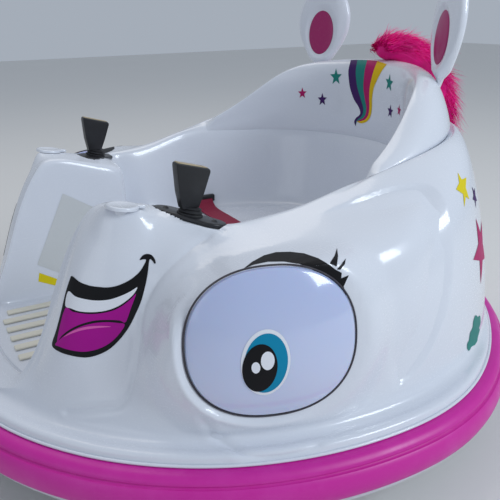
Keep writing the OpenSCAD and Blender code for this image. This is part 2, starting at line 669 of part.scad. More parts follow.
cup_h = 26;
swivel_r = 6;
cup_top = tray_top + cup_h;
module caster_cup(side) {
    car() color([0.9, 0.9, 0.9]) translate([0, side * caster_y, tray_top]) difference() {
        union() {
            cylinder(r = cup_r + 8, h = 3);
            cylinder(r = cup_r, h = cup_h);
        }
        translate([0, 0, -1]) cylinder(r = cup_r - 3, h = cup_h - 3);
        translate([0, 0, -1]) cylinder(r = swivel_r + axle_gap, h = cup_h + 2);
    }
}
fork_t = 3;
module caster_fork(side) {
    car() color([0.3, 0.3, 0.32]) translate([0, side * caster_y, 0]) {
        top = cup_top - 4 - seat_gap;
        translate([0, 0, top - 1]) cylinder(r = swivel_r, h = 9);
        translate([0, 0, top - 5]) cylinder(r = 15, h = 5);
        for (s = [-1, 1]) translate([s * (caster_w / 2 + 1 + fork_t / 2) - fork_t / 2, 0, 0])
            rotate([90, 0, 90]) linear_extrude(fork_t) difference() {
                union() {
                    polygon([[-10, top - 4], [10, top - 4], [caster_trail + 8, caster_r],
                        [caster_trail - 8, caster_r]]);
                    translate([caster_trail, caster_r]) circle(r = 8);
                }
            }
        translate([-caster_w / 2 - 1 - fork_t, caster_trail, caster_r]) rotate([0, 90, 0])
            cylinder(r = 3, h = caster_w + 2 + 2 * fork_t);
    }
}
module caster_wheel(side) {
    car() color([0.12, 0.12, 0.13]) translate([0, side * caster_y + caster_trail, caster_r])
        rotate([0, 90, 0]) translate([0, 0, -caster_w / 2]) rotate_extrude() polygon([
            [3 + axle_gap, 0], [10, 0], [12, 3], [caster_r - 6, 3], [caster_r - 4, 0],
            [caster_r - 2, 1], [caster_r, 5], [caster_r, caster_w - 5], [caster_r - 2, caster_w - 1],
            [caster_r - 4, caster_w], [caster_r - 6, caster_w - 3], [12, caster_w - 3],
            [10, caster_w], [3 + axle_gap, caster_w]]);
}
module caster_cup_front() { caster_cup(-1); }
module caster_cup_rear() { caster_cup(1); }
module caster_fork_front() { caster_fork(-1); }
module caster_fork_rear() { caster_fork(1); }
module caster_wheel_front() { caster_wheel(-1); }
module caster_wheel_rear() { caster_wheel(1); }

base_tray();
bumper_ring();
body_shell();
backrest_shell();
footwell_ribs();
eye_lens_left();
eye_lens_right();
eye_gasket_left();
eye_gasket_right();
ear_left();
ear_right();
ear_pad_left();
ear_pad_right();
mane();
console_cap_left();
console_cap_right();
stick_bezel_left();
stick_bezel_right();
joystick_left();
joystick_right();
belt_left();
belt_right();
belt_buckle();
belt_anchors();
battery();
gearbox_left();
gearbox_right();
drive_wheel_left();
drive_wheel_right();
caster_cup_front();
caster_cup_rear();
caster_fork_front();
caster_fork_rear();
caster_wheel_front();
caster_wheel_rear();
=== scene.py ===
"""Looks of a child's battery ride-on bumper car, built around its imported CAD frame.

Lengths in the tables are millimetres and are brought to metres once, in the frame of the CAD
part: +Z up, the floor at z = 0, the front towards -Y and the car's own left towards +X.
"""

import logging
import math
from dataclasses import dataclass
from enum import Enum
from typing import Any, Callable, Dict, List, Mapping, Optional, Sequence, Tuple, Union

import bmesh
import bpy
import numpy as np
from mathutils import Matrix, Vector
from mathutils.bvhtree import BVHTree

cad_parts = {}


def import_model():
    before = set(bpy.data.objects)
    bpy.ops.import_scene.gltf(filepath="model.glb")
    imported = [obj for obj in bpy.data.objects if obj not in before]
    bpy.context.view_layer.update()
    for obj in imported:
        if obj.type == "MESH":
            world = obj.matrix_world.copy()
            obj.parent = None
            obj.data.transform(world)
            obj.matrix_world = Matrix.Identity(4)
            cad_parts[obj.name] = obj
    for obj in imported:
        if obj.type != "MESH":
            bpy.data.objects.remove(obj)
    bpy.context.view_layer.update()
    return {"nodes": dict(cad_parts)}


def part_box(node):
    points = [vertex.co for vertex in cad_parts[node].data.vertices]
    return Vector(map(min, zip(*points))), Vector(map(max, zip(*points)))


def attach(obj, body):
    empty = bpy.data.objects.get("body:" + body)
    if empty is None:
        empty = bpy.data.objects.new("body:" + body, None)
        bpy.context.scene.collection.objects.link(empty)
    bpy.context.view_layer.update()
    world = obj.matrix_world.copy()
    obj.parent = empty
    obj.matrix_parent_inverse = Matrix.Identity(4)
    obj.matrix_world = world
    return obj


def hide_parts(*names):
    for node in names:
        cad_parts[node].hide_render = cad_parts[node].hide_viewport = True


LOG = logging.getLogger("bumper_car")
MM = 0.001
WELD = 2e-5
FINE_WELD = 1e-6
CHASSIS = "chassis"
Point2 = Tuple[float, float]
Point3 = Tuple[float, float, float]
Colour = Point3
Array = np.ndarray
Mapper = Callable[[Array, Array], Array]


def linear(red: int, green: int, blue: int) -> Colour:
    """Give the linear colour of three 0 to 255 display values."""
    def channel(value: int) -> float:
        """Undo the display curve of one channel."""
        share = value / 255
        return share / 12.92 if share <= 0.04045 else ((share + 0.055) / 1.055) ** 2.4
    return channel(red), channel(green), channel(blue)


def lerp(start: Any, end: Any, share: Any) -> Any:
    """Give the value a share of the way from start to end."""
    return start + (end - start) * share


def smooth(share: Any) -> Any:
    """Give an eased step from 0 to 1."""
    held = np.clip(share, 0.0, 1.0)
    return held * held * (3 - 2 * held)


def curve_through(points: Sequence[Point2], steps: int, closed: bool = False) -> Array:
    """Draw a smooth curve through 2-D or 3-D points.

    Args:
        points: The points that the curve passes, in order.
        steps: How many pieces each span is cut into.
        closed: Whether the curve returns to its start.

    Returns:
        The curve's points, one row each.
    """
    given = np.asarray(points, float)
    count = len(given)
    spans = count if closed else count - 1
    out = []
    for i in range(spans):
        if closed:
            p0, p1, p2, p3 = (given[(i + k) % count] for k in (-1, 0, 1, 2))
        else:
            p1, p2 = given[i], given[i + 1]
            p0 = given[i - 1] if i else 2 * p1 - p2
            p3 = given[i + 2] if i + 2 < count else 2 * p2 - p1
        for t in np.arange(steps) / steps:
            out.append(0.5 * (2 * p1 + (p2 - p0) * t + (2 * p0 - 5 * p1 + 4 * p2 - p3) * t * t
                              + (3 * p1 - p0 - 3 * p2 + p3) * t ** 3))
    if not closed:
        out.append(given[-1])
    return np.array(out)


# Shader graph


class Signal:
    """One output of a shader node, with arithmetic that adds the nodes it needs."""

    def __init__(self, graph: "Graph", socket: bpy.types.NodeSocket) -> None:
        """Wrap a socket of the graph's tree."""
        self.graph = graph
        self.socket = socket

    def __add__(self, other: "Input") -> "Signal":
        """Add, channel by channel."""
        return self.graph.arithmetic("ADD", self, other)

    def __radd__(self, other: "Input") -> "Signal":
        """Add with the signal on the right."""
        return self.graph.arithmetic("ADD", other, self)

    def __sub__(self, other: "Input") -> "Signal":
        """Subtract, channel by channel."""
        return self.graph.arithmetic("SUBTRACT", self, other)

    def __rsub__(self, other: "Input") -> "Signal":
        """Subtract the signal from something."""
        return self.graph.arithmetic("SUBTRACT", other, self)

    def __mul__(self, other: "Input") -> "Signal":
        """Multiply, channel by channel."""
        return self.graph.arithmetic("MULTIPLY", self, other)

    def __rmul__(self, other: "Input") -> "Signal":
        """Multiply with the signal on the right."""
        return self.graph.arithmetic("MULTIPLY", other, self)

    def above(self, edge: float, width: float) -> "Signal":
        """Give an eased mask that is 1 where the value is past the edge."""
        settings = {"interpolation_type": "SMOOTHSTEP"}
        return self.graph.node("ShaderNodeMapRange", settings, {
            "Value": self, "From Min": edge - width, "From Max": edge + width})


Input = Union[int, float, Sequence[float], Signal]


class Graph:
    """The node tree of one material."""

    def __init__(self, name: str) -> None:
        """Start an empty material of that name.

        Args:
            name: The material's name.
        """
        self.material = bpy.data.materials.new(name)
        self.material.use_nodes = True
        self.tree = self.material.node_tree
        self.tree.nodes.clear()

    def node(self, kind: str, settings: Mapping[str, Any], inputs: Mapping[Union[str, int], Input],
             output: Union[str, int] = 0) -> Signal:
        """Make any node.

        Args:
            kind: The node's type name.
            settings: Its properties, set first; "stops" holds a ramp's positions and colours.
            inputs: Values or signals by socket name or number.
            output: The socket that the signal wraps.

        Returns:
            The chosen output as a signal.
        """
        made = self.tree.nodes.new(kind)
        for key, value in settings.items():
            if key == "stops":
                ramp = made.color_ramp
                while len(ramp.elements) < len(value):
                    ramp.elements.new(0.5)
                for element, (position, colour) in zip(ramp.elements, value):
                    element.position = position
                    element.color = (*colour, 1.0)
            else:
                setattr(made, key, value)
        for key, value in inputs.items():
            self.feed(made.inputs[key], value)
        return Signal(self, made.outputs[output])

    def feed(self, socket: bpy.types.NodeSocket, value: Input) -> None:
        """Link a signal to a socket, or set the socket's own value."""
        if isinstance(value, Signal):
            self.tree.links.new(value.socket, socket)
        elif socket.type == "RGBA" and not isinstance(value, (int, float)):
            socket.default_value = (*tuple(value)[:3], 1.0)
        elif socket.type in ("RGBA", "VECTOR") and isinstance(value, (int, float)):
            socket.default_value = (value,) * len(socket.default_value)
        else:
            socket.default_value = value

    def arithmetic(self, operation: str, left: Input, right: Input) -> Signal:
        """Join two values by a Math node, or by Vector Math if one of them is no plain number.

        Args:
            operation: The node's operation.
            left: The first value.
            right: The second value.

        Returns:
            The result.
        """
        def plain(value: Input) -> bool:
            """Tell whether a value is one number."""
            if isinstance(value, Signal):
                return value.socket.type == "VALUE"
            return isinstance(value, (int, float))
        kind = "ShaderNodeMath" if plain(left) and plain(right) else "ShaderNodeVectorMath"
        return self.node(kind, {"operation": operation}, {0: left, 1: right})

    def mix(self, share: Input, first: Input, second: Input) -> Signal:
        """Mix two colours."""
        return self.node("ShaderNodeMix", {"data_type": "RGBA"}, {0: share, 6: first, 7: second}, 2)

    def place(self, scale: Sequence[float] = (1, 1, 1),
              turn: Sequence[float] = (0, 0, 0)) -> Signal:
        """Give Object coordinates in metres, scaled and turned."""
        here = self.node("ShaderNodeTexCoord", {}, {}, "Object")
        return self.node("ShaderNodeMapping", {}, {
            "Vector": here, "Scale": scale, "Rotation": turn})

    def surface_uv(self, scale: Sequence[float] = (1, 1, 1)) -> Signal:
        """Give the piece's own UV map, scaled."""
        here = self.node("ShaderNodeTexCoord", {}, {}, "UV")
        return self.node("ShaderNodeMapping", {}, {"Vector": here, "Scale": scale})

    def channel(self, vector: Signal, name: str) -> Signal:
        """Give one channel, X, Y or Z, of a vector."""
        return self.node("ShaderNodeSeparateXYZ", {}, {0: vector}, name)

    def noise(self, where: Signal, scale: float, detail: float = 2.0, rough: float = 0.5) -> Signal:
        """Give a cloudy value around 0.5."""
        return self.node("ShaderNodeTexNoise", {}, {
            "Vector": where, "Scale": scale, "Detail": detail, "Roughness": rough}, 0)

    def bump(self, height: Signal, depth: float, under: Optional[Signal] = None) -> Signal:
        """Turn a height into a normal; depth is in metres.

        Args:
            height: The relief, from 0 to 1.
            depth: The rise of a full height.
            under: A normal to build on.

        Returns:
            The normal.
        """
        inputs: Dict[Union[str, int], Input] = {
            "Height": height, "Distance": depth, "Strength": 1.0}
        if under is not None:
            inputs["Normal"] = under
        return self.node("ShaderNodeBump", {}, inputs)

    def finish(self, looks: Mapping[str, Input]) -> bpy.types.Material:
        """Close the tree with a Principled shader that has these sockets set or linked.

        Args:
            looks: What feeds each socket, by its name.

        Returns:
            The material.
        """
        shader = self.node("ShaderNodeBsdfPrincipled", {}, looks)
        out = self.tree.nodes.new("ShaderNodeOutputMaterial")
        self.tree.links.new(shader.socket, out.inputs["Surface"])
        return self.material


# Finishes


@dataclass(frozen=True)
class Finish:
    """A finish that a piece wears; each kind says how its sockets are fed."""

    name: str

    def looks(self, graph: Graph) -> Dict[str, Input]:
        """Give the Principled sockets of this finish."""
        raise NotImplementedError

    def material(self) -> bpy.types.Material:
        """Give the finish's material, made once.

        Returns:
            The material, the same one each time.
        """
        name = f"{self.name}_look"
        found = bpy.data.materials.get(name)
        if found:
            return found
        graph = Graph(name)
        return graph.finish(self.looks(graph))


@dataclass(frozen=True)
class GlossPlastic(Finish):
    """Injection-moulded plastic with a faint orange peel, dust and hairline scuffs."""

    colour: Colour
    shade: Colour
    roughness: float = 0.2
    coat: float = 0.5
    peel: float = 0.00003
    scuff: float = 0.16

    def looks(self, graph: Graph) -> Dict[str, Input]:
        """Give the sockets: tone by cloud and dust, gloss broken by scuffs, peel as bump."""
        here = graph.place()
        cloud = graph.noise(here, 7.0, 3.0)
        dust = graph.noise(here, 520.0, 3.0, 0.7).above(0.62, 0.05)
        hair = graph.noise(graph.place((30, 620, 900), (0.4, 0.2, 0.9)), 1.0)
        cross = graph.noise(graph.place((800, 24, 640), (0.1, 0.5, 0.3)), 1.0)
        scuffs = hair.above(0.66, 0.02) + cross.above(0.67, 0.02)
        worn = scuffs * graph.noise(here, 16.0, 1.0).above(0.54, 0.08)
        tone = graph.mix(cloud.above(0.5, 0.35) * 0.5, self.colour, self.shade)
        tone = graph.mix(dust * 0.06 + worn * 0.08, tone, (0.55, 0.53, 0.50))
        rough = self.roughness + cloud * 0.06 + worn * self.scuff + dust * 0.1
        wave = graph.noise(here, 210.0, 2.0)
        return {"Base Color": tone, "Roughness": rough, "Coat Weight": self.coat,
                "Coat Roughness": 0.06, "Normal": graph.bump(wave, self.peel)}


@dataclass(frozen=True)
class SatinPlastic(Finish):
    """Moulded plastic with a fine spark texture and rubbed high spots."""

    colour: Colour
    rubbed: Colour
    roughness: float = 0.45
    grain: float = 0.00006
    grain_scale: float = 900.0

    def looks(self, graph: Graph) -> Dict[str, Input]:
        """Give the sockets: tone by rubbing, a fine grain as bump."""
        here = graph.place()
        rub = graph.noise(here, 22.0, 4.0, 0.6).above(0.56, 0.12)
        speck = graph.noise(here, 700.0, 2.0).above(0.66, 0.04)
        tone = graph.mix(rub * 0.35 + speck * 0.2, self.colour, self.rubbed)
        rough = self.roughness + 0.12 * graph.noise(here, 60.0, 3.0) - rub * 0.07
        grain = graph.noise(here, self.grain_scale, 2.0, 0.6)
        broad = graph.noise(here, 45.0, 2.0)
        under = graph.bump(broad, self.grain * 3)
        return {"Base Color": tone, "Roughness": rough,
                "Normal": graph.bump(grain, self.grain, under)}


@dataclass(frozen=True)
class MilkDome(Finish):
    """A translucent milky dome whose bluish tone is painted reflection, darker over its upper half.
    """

    clear: Colour
    deep: Colour

    def looks(self, graph: Graph) -> Dict[str, Input]:
        """Give the sockets: painted reflection as a slow gradient with height, a hard clear coat.
        """
        here = graph.place()
        # Painted reflection: a bluish tone that turns to the deeper, darker one over the lens's
        # upper half.
        height = graph.channel(here, "Z").above(0.19, 0.07)
        cloud = graph.noise(here, 14.0, 2.0) - 0.5
        tone = graph.mix(height + cloud * 0.5, self.clear, self.deep)
        wave = graph.noise(here, 30.0, 1.0)
        rough = 0.14 + 0.05 * graph.noise(here, 300.0, 3.0)
        return {"Base Color": tone, "Roughness": rough, "Coat Weight": 0.8, "Coat Roughness": 0.03,
                "Subsurface Weight": 0.12, "Subsurface Scale": 0.008,
                "Normal": graph.bump(wave, 0.00008)}


@dataclass(frozen=True)
class PrintedFilm(Finish):
    """A printed vinyl sticker: flat ink under a thin satin film."""

    ink: Colour

    def looks(self, graph: Graph) -> Dict[str, Input]:
        """Give the sockets: ink with a faint dot screen and small rubbed specks."""
        here = graph.place()
        screen = graph.noise(here, 1500.0, 1.0)
        rub = graph.noise(here, 330.0, 3.0, 0.7).above(0.76, 0.03)
        tone = graph.mix(rub * 0.15, self.ink, (0.6, 0.6, 0.62)) * (0.94 + screen * 0.12)
        rough = 0.42 + 0.12 * graph.noise(here, 90.0, 2.0)
        return {"Base Color": tone, "Roughness": rough, "Specular IOR Level": 0.22,
                "Normal": graph.bump(graph.noise(here, 160.0, 2.0), 0.00002)}


@dataclass(frozen=True)
class Rubber(Finish):
    """Dull elastomer with a dusty bloom."""

    colour: Colour

    def looks(self, graph: Graph) -> Dict[str, Input]:
        """Give the sockets: bloom in the tone, a coarse grain as bump."""
        here = graph.place()
        bloom = graph.noise(here, 30.0, 4.0, 0.65)
        tone = graph.mix(bloom.above(0.6, 0.15) * 0.3, self.colour, (0.16, 0.155, 0.15))
        rough = 0.62 + 0.25 * bloom
        return {"Base Color": tone, "Roughness": rough,
                "Normal": graph.bump(graph.noise(here, 650.0, 3.0), 0.00008)}


@dataclass(frozen=True)
class Pile(Finish):
    """Long synthetic pile: a tone for each strand and a paler tip, a painted highlight."""

    root: Colour
    tip: Colour

    def looks(self, graph: Graph) -> Dict[str, Input]:
        """Give the sockets: UV runs across the strands and along each one."""
        where = graph.surface_uv()
        along = graph.channel(where, "Y")
        strand = graph.noise(graph.surface_uv((60.0, 0.0, 1.0)), 9.0, 1.0)
        lift = graph.noise(graph.place(), 42.0, 2.0)
        # Painted highlight: the tone pales from root to tip along each strand.
        tone = graph.mix(along * 0.75 + strand * 0.5 - 0.3, self.root, self.tip)
        tone = tone * (0.55 + lift * 0.75)
        rough = 0.34 + strand * 0.2
        return {"Base Color": tone, "Roughness": rough, "Specular IOR Level": 0.25,
                "Normal": graph.bump(strand, 0.00005)}


@dataclass(frozen=True)
class Webbing(Finish):
    """Woven polyester strap with a rib across and bound edges."""

    colour: Colour
    pale: Colour
    rib_mm: float = 1.6

    def looks(self, graph: Graph) -> Dict[str, Input]:
        """Give the sockets: two crossed waves in UV millimetres make the weave."""
        where = graph.surface_uv()
        across = graph.channel(where, "X")
        along = graph.channel(where, "Y")
        turns = 2 * math.pi / self.rib_mm
        warp = graph.node("ShaderNodeMath", {"operation": "SINE"}, {0: across * turns})
        weft = graph.node("ShaderNodeMath", {"operation": "SINE"}, {0: along * (turns * 0.5)})
        weave = warp * weft * 0.5 + 0.5
        fuzz = graph.noise(graph.place(), 900.0, 3.0)
        tone = graph.mix(weave * 0.45 + fuzz * 0.3, self.colour, self.pale)
        return {"Base Color": tone, "Roughness": 0.6 + 0.2 * fuzz,
                "Normal": graph.bump(weave + fuzz * 0.4, 0.0003)}


@dataclass(frozen=True)
class PlatedSteel(Finish):
    """Zinc-plated pressed steel with brushed streaks."""

    colour: Colour

    def looks(self, graph: Graph) -> Dict[str, Input]:
        """Give the sockets: streaked roughness over plain metal."""
        here = graph.place()
        streak = graph.noise(graph.place((40, 900, 900)), 1.0, 3.0)
        bloom = graph.noise(here, 60.0, 4.0)
        tone = graph.mix(bloom.above(0.6, 0.1) * 0.4, self.colour, (0.32, 0.31, 0.29))
        return {"Base Color": tone, "Metallic": 1.0, "Roughness": 0.28 + streak * 0.25,
                "Normal": graph.bump(streak, 0.00004)}


class Paint(Enum):
    """Every finish on the car, by the piece that wears it."""

    SHELL = GlossPlastic("shell_white", linear(226, 229, 236), linear(217, 221, 231))
    BUMPER = SatinPlastic("bumper_pink", linear(206, 26, 156), linear(214, 58, 170), 0.36, 0.00004)
    # The lens's bluish-lavender tones are painted reflection, the second, darker one for its upper
    # half.
    LENS = MilkDome("lens_milk", linear(206, 213, 238), linear(184, 195, 230))
    GASKET = Rubber("gasket_grey", linear(62, 58, 66))
    EAR_PAD = GlossPlastic("ear_pad_pink", linear(166, 6, 98), linear(150, 4, 88), 0.34, 0.15)
    # The mane's paler tip tone is a painted highlight.
    MANE = Pile("mane_fur", linear(232, 0, 128), linear(255, 26, 158))
    CONTROL = SatinPlastic("control_black", linear(24, 24, 27), linear(48, 48, 52), 0.34)
    STRAP = Webbing("belt_web", linear(122, 6, 44), linear(176, 36, 78))
    # Painted reflection: the treads' cream tint stands for warm light reflected in the footwell.
    TREAD = SatinPlastic("tread_cream", linear(229, 224, 208), linear(216, 210, 192), 0.5)
    TRAY = SatinPlastic("tray_white", linear(206, 206, 212), linear(184, 184, 190), 0.5)
    WHEEL = Rubber("wheel_black", linear(30, 30, 33))
    BOX = SatinPlastic("box_grey", linear(58, 59, 64), linear(78, 79, 84), 0.5)
    STEEL = PlatedSteel("fork_steel", linear(186, 186, 190))
    TEAL = PrintedFilm("ink_teal", linear(28, 128, 118))
    PURPLE = PrintedFilm("ink_purple", linear(62, 24, 92))
    MAGENTA = PrintedFilm("ink_magenta", linear(176, 12, 96))
    GOLD = PrintedFilm("ink_gold", linear(222, 184, 0))
    YELLOW = PrintedFilm("ink_yellow", linear(226, 206, 20))
    BLACK = PrintedFilm("ink_black", linear(10, 10, 14))
    WHITE = PrintedFilm("ink_white", linear(232, 234, 240))
    IRIS = PrintedFilm("ink_iris", linear(0, 134, 172))
    MOUTH = PrintedFilm("ink_mouth", linear(170, 0, 142))
    TONGUE = PrintedFilm("ink_tongue", linear(222, 96, 176))
    LABEL = PrintedFilm("ink_label", linear(206, 208, 208))
    # A painted highlight: the tan pad on each paddle's glossy top stands for light falling on it.
    WORN_TOP = SatinPlastic("control_top_highlight", linear(176, 158, 122), linear(120, 106, 84), 0.24)

    def material(self) -> bpy.types.Material:
        """Give the finish's material."""
        return self.value.material()


# Mesh building


class Form:
    """A mesh under construction, with the operations that the pieces share.

    Forms are drawn about the centre of the car's plan. Each piece is moved to where that
    centre lies in the frame, which main() reads from the drive wheels' axle.
    """

    plan_middle: float = 0.0

    def __init__(self) -> None:
        """Start empty."""
        self.bm = bmesh.new()

    @classmethod
    def grid(cls, columns: int, rows: int, place: Mapper, uv: Optional[Point2] = None) -> "Form":
        """Bend a flat grid to a surface.

        Args:
            columns: Cells along the first direction.
            rows: Cells along the second direction.
            place: Takes arrays of both shares, 0 to 1, and gives points in metres.
            uv: Size of the UV map in its own units, if the finish follows the surface.

        Returns:
            The form, with nothing merged yet.
        """
        form = cls()
        bmesh.ops.create_grid(form.bm, x_segments=columns, y_segments=rows, size=0.5)
        shares = np.array([vert.co for vert in form.bm.verts])[:, :2] + 0.5
        points = place(shares[:, 0], shares[:, 1])
        if uv:
            layer = form.bm.loops.layers.uv.new("UVMap")
            for face in form.bm.faces:
                for loop in face.loops:
                    share = shares[loop.vert.index]
                    loop[layer].uv = (share[0] * uv[0], share[1] * uv[1])
        for vert, point in zip(form.bm.verts, points):
            vert.co = point
        return form

    @classmethod
    def prism(cls, outline: Sequence[Point2], height: float) -> "Form":
        """Raise a flat outline, in metres, into a solid from z = 0.

        Args:
            outline: The corners in order.
            height: The rise in metres.

        Returns:
            The closed solid.
        """
        form = cls()
        verts = [form.bm.verts.new((x, y, 0.0)) for x, y in outline]
        face = form.bm.faces.new(verts)
        raised = bmesh.ops.extrude_face_region(form.bm, geom=[face])
        moved = [item for item in raised["geom"] if isinstance(item, bmesh.types.BMVert)]
        bmesh.ops.translate(form.bm, verts=moved, vec=(0, 0, height))
        return form.outward()

    @classmethod
    def lathe(cls, profile: Sequence[Point2], steps: int = 48) -> "Form":
        """Spin a profile of radius and height, in metres, about Z.

        Args:
            profile: The points from the axis to the axis.
            steps: Faces round the axis.

        Returns:
            The closed solid.
        """
        form = cls()
        verts = [form.bm.verts.new((r, 0.0, z)) for r, z in profile]
        edges = [form.bm.edges.new(pair) for pair in zip(verts, verts[1:])]
        bmesh.ops.spin(form.bm, geom=verts + edges, cent=(0, 0, 0), axis=(0, 0, 1),
                       angle=2 * math.pi, steps=steps, use_merge=True, dvec=(0, 0, 0))
        return form.merged(FINE_WELD).outward()

    @classmethod
    def block(cls, size: Sequence[float], centre: Sequence[float]) -> "Form":
        """Make a box of a size, in metres, about a centre.

        Args:
            size: Its three edges.
            centre: Its middle.

        Returns:
            The box.
        """
        form = cls()
        bmesh.ops.create_cube(form.bm, size=1.0)
        bmesh.ops.scale(form.bm, verts=form.bm.verts[:], vec=size)
        bmesh.ops.translate(form.bm, verts=form.bm.verts[:], vec=centre)
        return form

    def merged(self, distance: float = WELD) -> "Form":
        """Weld points that coincide."""
        bmesh.ops.remove_doubles(self.bm, verts=self.bm.verts[:], dist=distance)
        return self

    def outward(self) -> "Form":
        """Turn every face outwards."""
        bmesh.ops.recalc_face_normals(self.bm, faces=self.bm.faces[:])
        return self

    def bridged(self) -> "Form":
        """Join the two open edge loops by a band of faces."""
        rims = [edge for edge in self.bm.edges if edge.is_boundary]
        bmesh.ops.bridge_loops(self.bm, edges=rims)
        return self

    def closed(self) -> "Form":
        """Fill the open edge loops."""
        open_edges = [edge for edge in self.bm.edges if edge.is_boundary]
        bmesh.ops.holes_fill(self.bm, edges=open_edges, sides=0)
        return self

    def bevelled(self, width: float, segments: int = 3, sharper_than: float = 30.0) -> "Form":
        """Round the edges that are sharper than an angle in degrees.

        Args:
            width: The round's width in metres.
            segments: Faces across it.
            sharper_than: The least angle of an edge.

        Returns:
            The form itself.
        """
        limit = math.radians(sharper_than)
        edges = [edge for edge in self.bm.edges
                 if len(edge.link_faces) == 2 and edge.calc_face_angle(0.0) > limit]
        bmesh.ops.bevel(self.bm, geom=edges, offset=width, offset_type="OFFSET", segments=segments,
                        profile=0.5, affect="EDGES", material=-1, clamp_overlap=True)
        return self

    def moved(self, matrix: Matrix) -> "Form":
        """Put the form where a matrix says."""
        bmesh.ops.transform(self.bm, matrix=matrix, verts=self.bm.verts[:])
        return self

    def mirrored(self) -> "Form":
        """Give a copy on the car's other side.

        Returns:
            The twin, facing outwards.
        """
        twin = Form()
        twin.bm = self.bm.copy()
        bmesh.ops.scale(twin.bm, verts=twin.bm.verts[:], vec=(-1, 1, 1))
        bmesh.ops.reverse_faces(twin.bm, faces=twin.bm.faces[:])
        return twin

    def joined(self, other: "Form") -> "Form":
        """Take another form's mesh into this one.

        Args:
            other: The form to take in.

        Returns:
            This form.
        """
        mesh = bpy.data.meshes.new("joining")
        other.bm.to_mesh(mesh)
        self.bm.from_mesh(mesh)
        bpy.data.meshes.remove(mesh)
        return self

    def tree(self) -> BVHTree:
        """Give a search tree over the form's faces."""
        return BVHTree.FromBMesh(self.bm)

    def piece(self, name: str, paint: Paint, body: str = CHASSIS, stands_for: Sequence[str] = (),
              sharp_deg: float = 45.0, slotted: bool = False) -> None:
        """Turn the form into a shown piece that rides on a CAD body.

        Args:
            name: The piece's name.
            paint: Its finish.
            body: The CAD body that it moves with.
            stands_for: CAD nodes that it is shown in place of.
            sharp_deg: Edges sharper than this keep a hard shade.
            slotted: Not used.
        """
        bmesh.ops.translate(self.bm, verts=self.bm.verts[:], vec=(0, Form.plan_middle, 0))
        mesh = bpy.data.meshes.new(name)
        self.bm.to_mesh(mesh)
        mesh.shade_smooth()
        mesh.set_sharp_from_angle(angle=math.radians(sharp_deg))
        mesh.materials.append(paint.material())
        made = bpy.data.objects.new(name, mesh)
        bpy.context.scene.collection.objects.link(made)
        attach(made, body)
        if stands_for:
            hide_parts(*stands_for)
        LOG.info("%s: %d faces on %s", name, len(mesh.polygons), body)

    def pair(self, name: str, paint: Paint, node: str = "", body: str = CHASSIS,
             sharp_deg: float = 45.0) -> None:
        """Turn the form into a left piece and its mirror image into a right one.

        Args:
            name: The pieces' name without its side.
            paint: Their finish.
            node: The CAD nodes that they stand for, without the side.
            body: The body that they move with; braces stand for the side.
            sharp_deg: Edges sharper than this keep a hard shade.
        """
        for side, form in (("right", self.mirrored()), ("left", self)):
            nodes = [f"{node}_{side}"] if node else []
            form.piece(f"{name}_{side}", paint, body.format(side), nodes, sharp_deg)


def frame_at(position: Sequence[float], *turns: Tuple[str, float]) -> Matrix:
    """Give the matrix of a place in millimetres with turns in degrees, the first one outermost.

    Args:
        position: The place.
        turns: Each turn's axis and angle.

    Returns:
        The matrix in metres.
    """
    matrix = Matrix.Translation(Vector(position) * MM)
    for axis, angle in turns:
        matrix = matrix @ Matrix.Rotation(math.radians(angle), 4, axis)
    return matrix


# Camera and studio


@dataclass(frozen=True)
class PhotoCamera:
    """The camera that took the photograph, as solved from the car's known points."""

    position: Point3 = (0.665, -0.343, 0.438)
    azimuth: float = 61.3
    elevation: float = 20.7
    roll: float = -0.9
    focal_px: float = 640.0
    width_px: float = 500.0
    sensor_mm: float = 36.0

    def axes(self) -> Matrix:
        """Give the camera's right, up and backward directions as columns.

        Returns:
            The matrix from the camera's directions to the car's.
        """
        a, e, r = (math.radians(x) for x in (self.azimuth, self.elevation, self.roll))
        back = Vector((math.sin(a) * math.cos(e), -math.cos(a) * math.cos(e), math.sin(e)))
        right = Vector((math.cos(a), math.sin(a), 0.0))
        up = back.cross(right)
        c, s = math.cos(r), math.sin(r)
        return Matrix((c * right + s * up, c * up - s * right, back)).transposed()

    def ray(self, x: float, y: float) -> Vector:
        """Give the direction through a point of the 500-pixel photograph.

        Args:
            x: Pixels from the left.
            y: Pixels from the top.

        Returns:
            The unit direction.
        """
        half = self.width_px / 2
        local = Vector(((x - half) / self.focal_px, (half - y) / self.focal_px, -1.0))
        return (self.axes() @ local).normalized()

    def build(self) -> None:
        """Put the camera in the scene."""
        data = bpy.data.cameras.new("photo_camera")
        data.sensor_width = self.sensor_mm
        data.lens = self.focal_px / self.width_px * self.sensor_mm
        data.clip_start, data.clip_end = 0.02, 50.0
        made = bpy.data.objects.new("photo_camera", data)
        position = Vector(self.position) + Vector((0, Form.plan_middle, 0))
        made.matrix_world = Matrix.Translation(position) @ self.axes().to_4x4()
        bpy.context.scene.collection.objects.link(made)
        bpy.context.scene.camera = made


